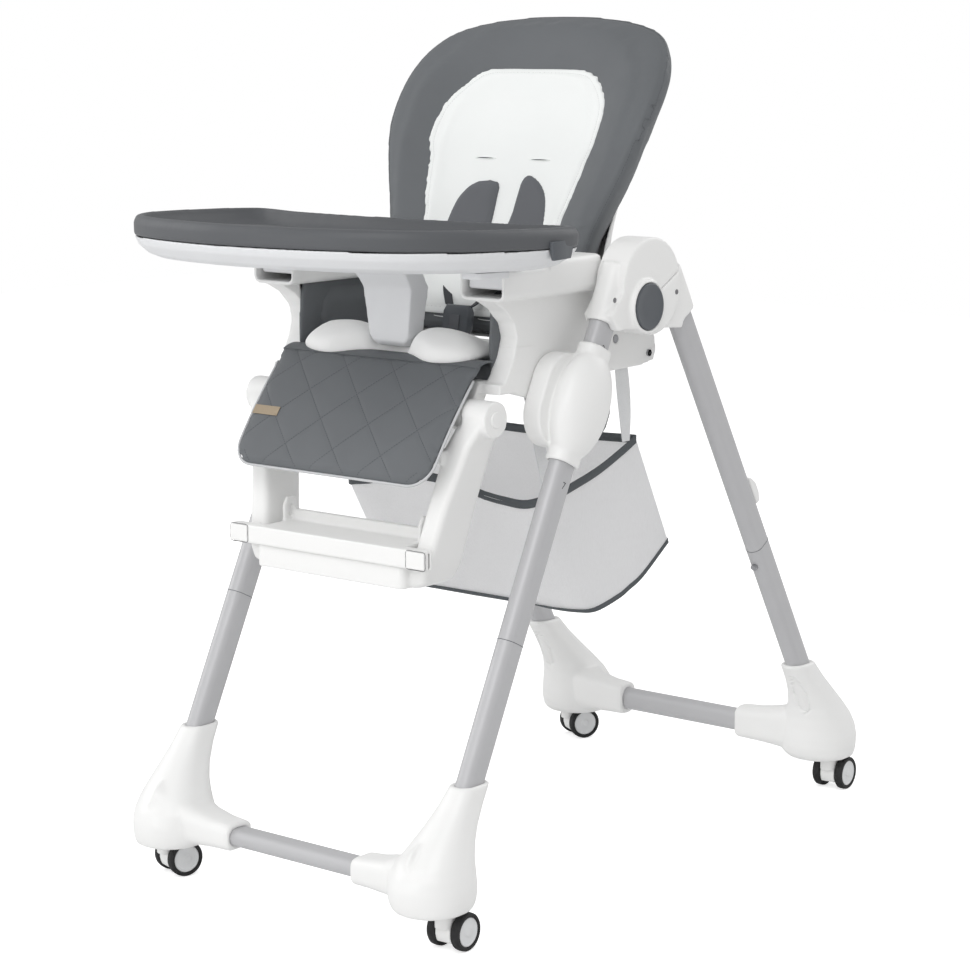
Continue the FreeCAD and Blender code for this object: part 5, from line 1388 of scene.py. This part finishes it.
BRIDGE_ROWS, BRIDGE_WIDE = 9, 25
bridge_half = CALF_HALF * 0.985
bridge_start = calf_foot + calf_along * (CALF_LONG - 0.004) + calf_out * 0.003
bridge_rows = []
for k in range(BRIDGE_ROWS):
    t = k / (BRIDGE_ROWS - 1)
    spot = bridge_start.lerp(Vector((0, -0.198, 0.664)), t)
    spot.z += 0.004 * math.sin(math.pi * t)
    bridge_rows.append(spot)
vertices, faces = [], []
for face_side in (1, -1):
    for spot in bridge_rows:
        for k in range(BRIDGE_WIDE):
            x = -bridge_half + 2 * bridge_half * k / (BRIDGE_WIDE - 1)
            vertices.append(spot + Vector((x, 0, 0)) + Vector((0, -0.3, 0.95)) * 0.0013 * face_side)
below = BRIDGE_ROWS * BRIDGE_WIDE
for base in (0, below):
    for row in range(BRIDGE_ROWS - 1):
        for k in range(BRIDGE_WIDE - 1):
            a = base + row * BRIDGE_WIDE + k
            quad = (a, a + 1, a + BRIDGE_WIDE + 1, a + BRIDGE_WIDE)
            faces.append(quad if base else quad[::-1])
for row in range(BRIDGE_ROWS - 1):
    for k, order in ((0, 1), (BRIDGE_WIDE - 1, -1)):
        a = row * BRIDGE_WIDE + k
        faces.append((a, a + below, a + below + BRIDGE_WIDE, a + BRIDGE_WIDE)[::order])
for row, order in ((0, 1), (BRIDGE_ROWS - 1, -1)):
    for k in range(BRIDGE_WIDE - 1):
        a = row * BRIDGE_WIDE + k
        faces.append((a, a + 1, a + below + 1, a + below)[::order])
bridge = faced(made("calf_bridge", vertices, faces))
bridge.data.materials.append(LEATHER)
crease(bridge, 50)
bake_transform(bridge)
tag = closed_form("calf_tag", [(-0.0205, -0.0062), (0.0205, -0.0062), (0.0205, 0.0062),
                               (-0.0205, 0.0062)], 0.0007, 4,
                  ((1, 0, 0), calf_along, calf_out),
                  draped_on([on_calf(-0.1285, 0.0705, CALF_THICK)], calf, calf_out, 0.0003)[0], 0.5)


def tag_weave():
    """Tan woven ribbon, left plain."""
    mix = Finish("tag_weave", (176, 160, 138), 0.8, specular=0.2)
    mix.mottle(mix.cloud(900, 2), 0.2).relief(mix.cells(2500), 0.00006)
    return mix.material


finished(tag, tag_weave(), "footrest", smooth=35)


# ------------------------------------------------------------------ foot step
# A white moulded step hooks over both arms of the footrest and slides along them.
# A push button at each end of its front edge frees it.
moulded("step", WHITE, "step", 0.0015, 5, 0.6)
for side, sign in SIDES:
    low, high = corners(f"step_button_{side}")
    moulded(f"step_button_{side}", WHITE, f"step_button_{side}", 0.0009, 3, 0.6)
    centre = (low + high) / 2
    reach_x, reach_z = (high.x - low.x) / 2 + 0.0007, (high.z - low.z) / 2 + 0.0007
    ring = round_outline([(reach_x, 0), (reach_x * 0.93, reach_z * 0.93), (0, reach_z),
                          (-reach_x * 0.93, reach_z * 0.93),
                          (-reach_x, 0), (-reach_x * 0.93, -reach_z * 0.93), (0, -reach_z),
                          (reach_x * 0.93, -reach_z * 0.93)], 5)
    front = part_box("step")[0][1]
    # A thin bead of painted shade traces the gap round each button's edge.
    gap = beading(f"step_button_gap_shade_{side}",
                  [Vector((centre.x + p.x, front + 0.0003, centre.z + p.y)) for p in ring],
                  0.00035, closed=True, sides=6)
    finished(gap, SHADOW, "step", smooth=180)


# ------------------------------------------------------------------ basket
# A fine white mesh basket hangs under the seat. Its rim and bottom edge are bound in
# slate tape, and four webbing straps carry it from the seat sides.
def mesh_fabric():
    """White polyester mesh: fine upright ribs with lighter threads across them."""
    mix = Finish("mesh_fabric", (250, 250, 251), 0.85, specular=0.15)
    ribs = mix.cells(1.0, where=mix.stretched((620, 620, 130)))
    mix.mottle(ribs, 0.1).relief(ribs, 0.00025, 0.7)
    mix.relief(mix.cloud(13, 3), 0.0018, 0.5)
    glow = mix.add("ShaderNodeBsdfTranslucent")
    glow.inputs["Color"].default_value = (1, 1, 1, 1)
    thin = mix.add("ShaderNodeMixShader")
    thin.inputs[0].default_value = 0.5
    mix.link(mix.shader.outputs[0], thin.inputs[1])
    mix.link(glow.outputs[0], thin.inputs[2])
    mix.link(thin.outputs[0], mix.tree.nodes["Material Output"].inputs[0])
    return mix.material


def binding_tape():
    """Slate woven tape folded over the edges of the mesh."""
    mix = Finish("binding_tape", (91, 95, 98), 0.75, specular=0.25)
    mix.mottle(mix.cloud(300, 3), 0.12).relief(mix.cells(1500), 0.0001, 0.7)
    return mix.material


def white_webbing():
    """White ribbed webbing."""
    mix = Finish("white_webbing", (228, 229, 230), 0.75, specular=0.2)
    ribs = mix.cells(1.0, where=mix.stretched((300, 900, 900)))
    mix.mottle(ribs, 0.08).relief(ribs, 0.0002, 0.8)
    return mix.material


MESH = mesh_fabric()
TAPE = binding_tape()
STRAP = white_webbing()
basket_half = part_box("basket")[1][0] - 0.0006
rim_side = [(0.095, -0.144, 0.4895), (0.12, -0.14, 0.4855), (0.146, -0.124, 0.4815),
            (0.1655, -0.09, 0.491),
            (basket_half, -0.06, 0.498), (basket_half, -0.007, 0.511), (basket_half, 0.046, 0.530),
            (basket_half, 0.072, 0.541)]
base_side = [(0.1, -0.052, 0.340), (0.13, -0.05, 0.338), (0.155, -0.035, 0.335),
             (basket_half, -0.012, 0.334),
             (basket_half, 0.036, 0.342), (basket_half, 0.060, 0.350), (basket_half, 0.090, 0.362),
             (basket_half, 0.146, 0.398)]


def sagged(spot, out, along, depth):
    """A point of the mesh, moved in by the slack between the places that hold it."""
    return spot + out * depth * math.sin(math.pi * clamp(along)) ** 2


def wall(top_line, foot_line, out, slack, rows=10):
    """A wall of mesh between two lines, bowed a little as hung cloth is."""
    grid = []
    for row in range(rows + 1):
        t = row / rows
        line = [a.lerp(b, t) for a, b in zip(top_line, foot_line)]
        grid.append([sagged(p, out, t, slack * math.sin(math.pi * k / (len(line) - 1)))
                     for k, p in enumerate(line)])
    return grid


def quads(grids):
    """One mesh from several grids of points, welded where they meet."""
    vertices, faces = [], []
    for grid in grids:
        base, across = len(vertices), len(grid[0])
        vertices += [p for row in grid for p in row]
        for row in range(len(grid) - 1):
            for k in range(across - 1):
                a = base + row * across + k
                faces.append((a, a + 1, a + across + 1, a + across))
    return vertices, faces


def across_to(line):
    """The same line on the other side of the chair."""
    return [Vector((-p.x, p.y, p.z)) for p in line]


def crossing(start, end, steps=16, droop=0.0):
    """A line from side to side that droops a little."""
    return [start.lerp(end, k / steps) - Vector((0, 0, droop * math.sin(math.pi * k / steps)))
            for k in range(steps + 1)]


left_top, left_foot = open_line(rim_side, 6), open_line(base_side, 6)
right_top, right_foot = across_to(left_top), across_to(left_foot)
grids = [wall(left_top, left_foot, Vector((1, 0, 0)), -0.004),
         wall(right_top, right_foot, Vector((1, 0, 0)), 0.004),
         wall(crossing(left_top[0], right_top[0], droop=-0.014),
              crossing(left_foot[0], right_foot[0]), Vector((0, 1, 0)), 0.006),
         wall(crossing(left_top[-1], right_top[-1], droop=0.004),
              crossing(left_foot[-1], right_foot[-1]),
              Vector((0, -1, 0)), 0.006),
         [crossing(a, b, droop=0.004 * math.sin(math.pi * k / (len(left_foot) - 1)))
          for k, (a, b) in enumerate(zip(left_foot, right_foot))]]
basket = faced(made("mesh_basket", *quads(grids)), 0.0005)
solid(basket, 0.0009)
finished(basket, MESH, "seat_carriage", ("basket",), smooth=50)


def tape(name, line, up, out, high, closed=False):
    """Flat tape folded over an edge of the mesh."""
    section = [(-high / 2, 0.0006), (-high / 2 + 0.0006, 0.0012), (high / 2 - 0.0006, 0.0012),
               (high / 2, 0.0006),
               (high / 2, -0.0006), (high / 2 - 0.0006, -0.0012), (-high / 2 + 0.0006, -0.0012),
               (-high / 2, -0.0006)]
    vertices = [spot + up[k] * h + out[k] * o for k, spot in enumerate(line) for h, o in section]
    piece = faced(made(name, vertices, tube_faces(len(line), len(section), closed)))
    finished(piece, TAPE, "seat_carriage", smooth=60)


front_top = crossing(left_top[0], right_top[0], droop=-0.014)[1:-1]
back_top = crossing(right_top[-1], left_top[-1], droop=0.004)[1:-1]
rim_line = left_top[::-1] + front_top + right_top + back_top
upward = Vector((0, 0, 1))
rim_out = ([Vector((1, 0, 0))] * len(left_top) + [Vector((0, -1, 0))] * len(front_top)
           + [Vector((-1, 0, 0))] * len(right_top) + [Vector((0, 1, 0))] * len(back_top))
tape("basket_rim_tape", rim_line, [upward] * len(rim_line), rim_out, 0.011, closed=True)
for (side, sign), line in zip(SIDES, (left_foot, right_foot)):
    tape(f"basket_base_tape_{side}", line, [Vector((-0.3 * sign, 0, 0.95))] * len(line),
         [Vector((sign, 0, 0.3))] * len(line), 0.007)
for end, index in (("front", 0), ("rear", -1)):
    line = crossing(left_foot[index], right_foot[index])
    way = Vector((0, -1 if end == "front" else 1, 0))
    tape(f"basket_base_tape_{end}", line, [upward] * len(line), [way] * len(line), 0.007)

for side, sign in SIDES:
    for end, top_spot, low_spot, wide_top, wide_low in (
            ("rear", (0.034, 0.652), (0.048, 0.541), 0.011, 0.0075),
            ("front", (-0.152, 0.65), (-0.104, 0.492), 0.009, 0.0075)):
        x = sign * (basket_half + (0.0018 if end == "rear" else -0.006))
        route = open_line([(x, *top_spot),
                           (x + sign * 0.001, (top_spot[0] * 2 + low_spot[0]) / 3,
                            (top_spot[1] * 2 + low_spot[1]) / 3),
                           (x + sign * 0.0012, (top_spot[0] + low_spot[0] * 2) / 3,
                            (top_spot[1] + low_spot[1] * 2) / 3),
                           (x, *low_spot)], 6)
        across = []
        for k in range(len(route)):
            t = k / (len(route) - 1)
            twist = math.sin(math.pi * t) * 0.5
            half = wide_top + (wide_low - wide_top) * t
            across.append(Vector((math.sin(twist) * half * sign, math.cos(twist) * half, 0)))
        strap = ribbon(f"basket_strap_{end}_{side}", route, across, 0.0014, "seat_carriage", STRAP)
        if end == "front" and side == "left":
            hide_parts("basket_straps")


# ------------------------------------------------------------------ joint lines
# A thin line shows where each upper tube ends on the lower tube inside it.
def joint_ring(node):
    """The thin shadow line where an upper tube's end meets the tube inside it."""
    shape = bmesh.new()
    shape.from_mesh(NODES[node].data)
    points = [v.co.copy() for v in shape.verts]
    low = min(p.z for p in points)
    high = max(p.z for p in points)
    foot = [p for p in points if p.z < low + 0.02]
    head = [p for p in points if p.z > high - 0.02]
    along = (sum(head, Vector()) / len(head) - sum(foot, Vector()) / len(foot)).normalized()
    start = min(p.dot(along) for p in foot)
    cut = bmesh.ops.bisect_plane(shape, geom=[*shape.verts, *shape.edges, *shape.faces],
                                 dist=0.00001,
                                 plane_co=along * (start + 0.0008), plane_no=along)
    ring = [v.co.copy() for v in cut["geom_cut"] if isinstance(v, bmesh.types.BMVert)]
    shape.free()
    across = Vector((1, 0, 0))
    third = along.cross(across)
    line = []
    for step in range(64):
        angle = 2 * math.pi * step / 64
        way = across * math.cos(angle) + third * math.sin(angle)
        far = max(ring, key=lambda p: p.dot(way))
        if not line or (far - line[-1]).length > 0.0004:
            line.append(far)
    return line


for end in ("front", "rear"):
    for side, sign in SIDES:
        ring = joint_ring(f"{end}_leg_{side}")
        line = beading(f"{end}_joint_line_{side}", ring, 0.0004, closed=True, sides=6)
        finished(line, BUTTON, f"{end}_frame", smooth=180)


# ------------------------------------------------------------------ stitching
# Lockstitch runs along the liner's binding, the cushion's seam and the quilting of the
# calf pad: small rounded stitches at an even pitch.
def stitch_tree():
    """Geometry nodes: a small rounded stitch at each step along the given curve."""
    tree, nodes, links = new_tree("stitches", Line="Geometry", Pitch="Float", Length="Float",
                                  Radius="Float", Finish="Material")
    given, result = nodes.new("NodeGroupInput"), nodes.new("NodeGroupOutput")
    curve = nodes.new("GeometryNodeMeshToCurve")
    links.new(given.outputs["Line"], curve.inputs[0])
    spots = nodes.new("GeometryNodeCurveToPoints")
    spots.mode = "LENGTH"
    links.new(curve.outputs[0], spots.inputs["Curve"])
    links.new(given.outputs["Pitch"], spots.inputs["Length"])
    bead = nodes.new("GeometryNodeMeshUVSphere")
    bead.inputs["Segments"].default_value = 6
    bead.inputs["Rings"].default_value = 4
    bead.inputs["Radius"].default_value = 1.0
    size = nodes.new("ShaderNodeCombineXYZ")
    links.new(given.outputs["Radius"], size.inputs["X"])
    links.new(given.outputs["Radius"], size.inputs["Y"])
    links.new(times(tree, given.outputs["Length"], 0.5), size.inputs["Z"])
    spread = nodes.new("GeometryNodeInstanceOnPoints")
    links.new(spots.outputs["Points"], spread.inputs["Points"])
    links.new(bead.outputs["Mesh"], spread.inputs["Instance"])
    links.new(spots.outputs["Rotation"], spread.inputs["Rotation"])
    links.new(size.outputs[0], spread.inputs["Scale"])
    return painted(tree, spread, given, result)


STITCHES = stitch_tree()


def stitched(name, runs, finish, body, slot, pitch=0.0036, long=0.0026, radius=0.00032,
             closed=False):
    """Stitches along runs of points already laid on a surface."""
    vertices, edges = [], []
    for run in runs:
        base = len(vertices)
        vertices += [tuple(p) for p in run]
        edges += [(base + k, base + k + 1) for k in range(len(run) - 1)]
        if closed:
            edges.append((base + len(run) - 1, base))
    mesh = bpy.data.meshes.new(name)
    mesh.from_pydata(vertices, edges, [])
    holder = placed(name, mesh)
    grown(holder, STITCHES, body, slot, Pitch=pitch, Length=long, Radius=radius, Finish=finish)


quilted = [draped_on(run[::3], calf, calf_out, 0.0001) for run in stitch_runs]
stitched("calf_stitches", quilted, DARK_THREAD, "footrest", "leatherette")
liner_run = draped_on(edge_seam, liner, -back_rear, 0.0001)
stitched("liner_stitches", [liner_run], PALE_THREAD, "backrest", "liner_fabric", closed=True)
cushion_run = draped_on(welt, cover, -back_rear, 0.0001)
stitched("cushion_stitches", [cushion_run], DARK_THREAD, "backrest", "leatherette", closed=True)
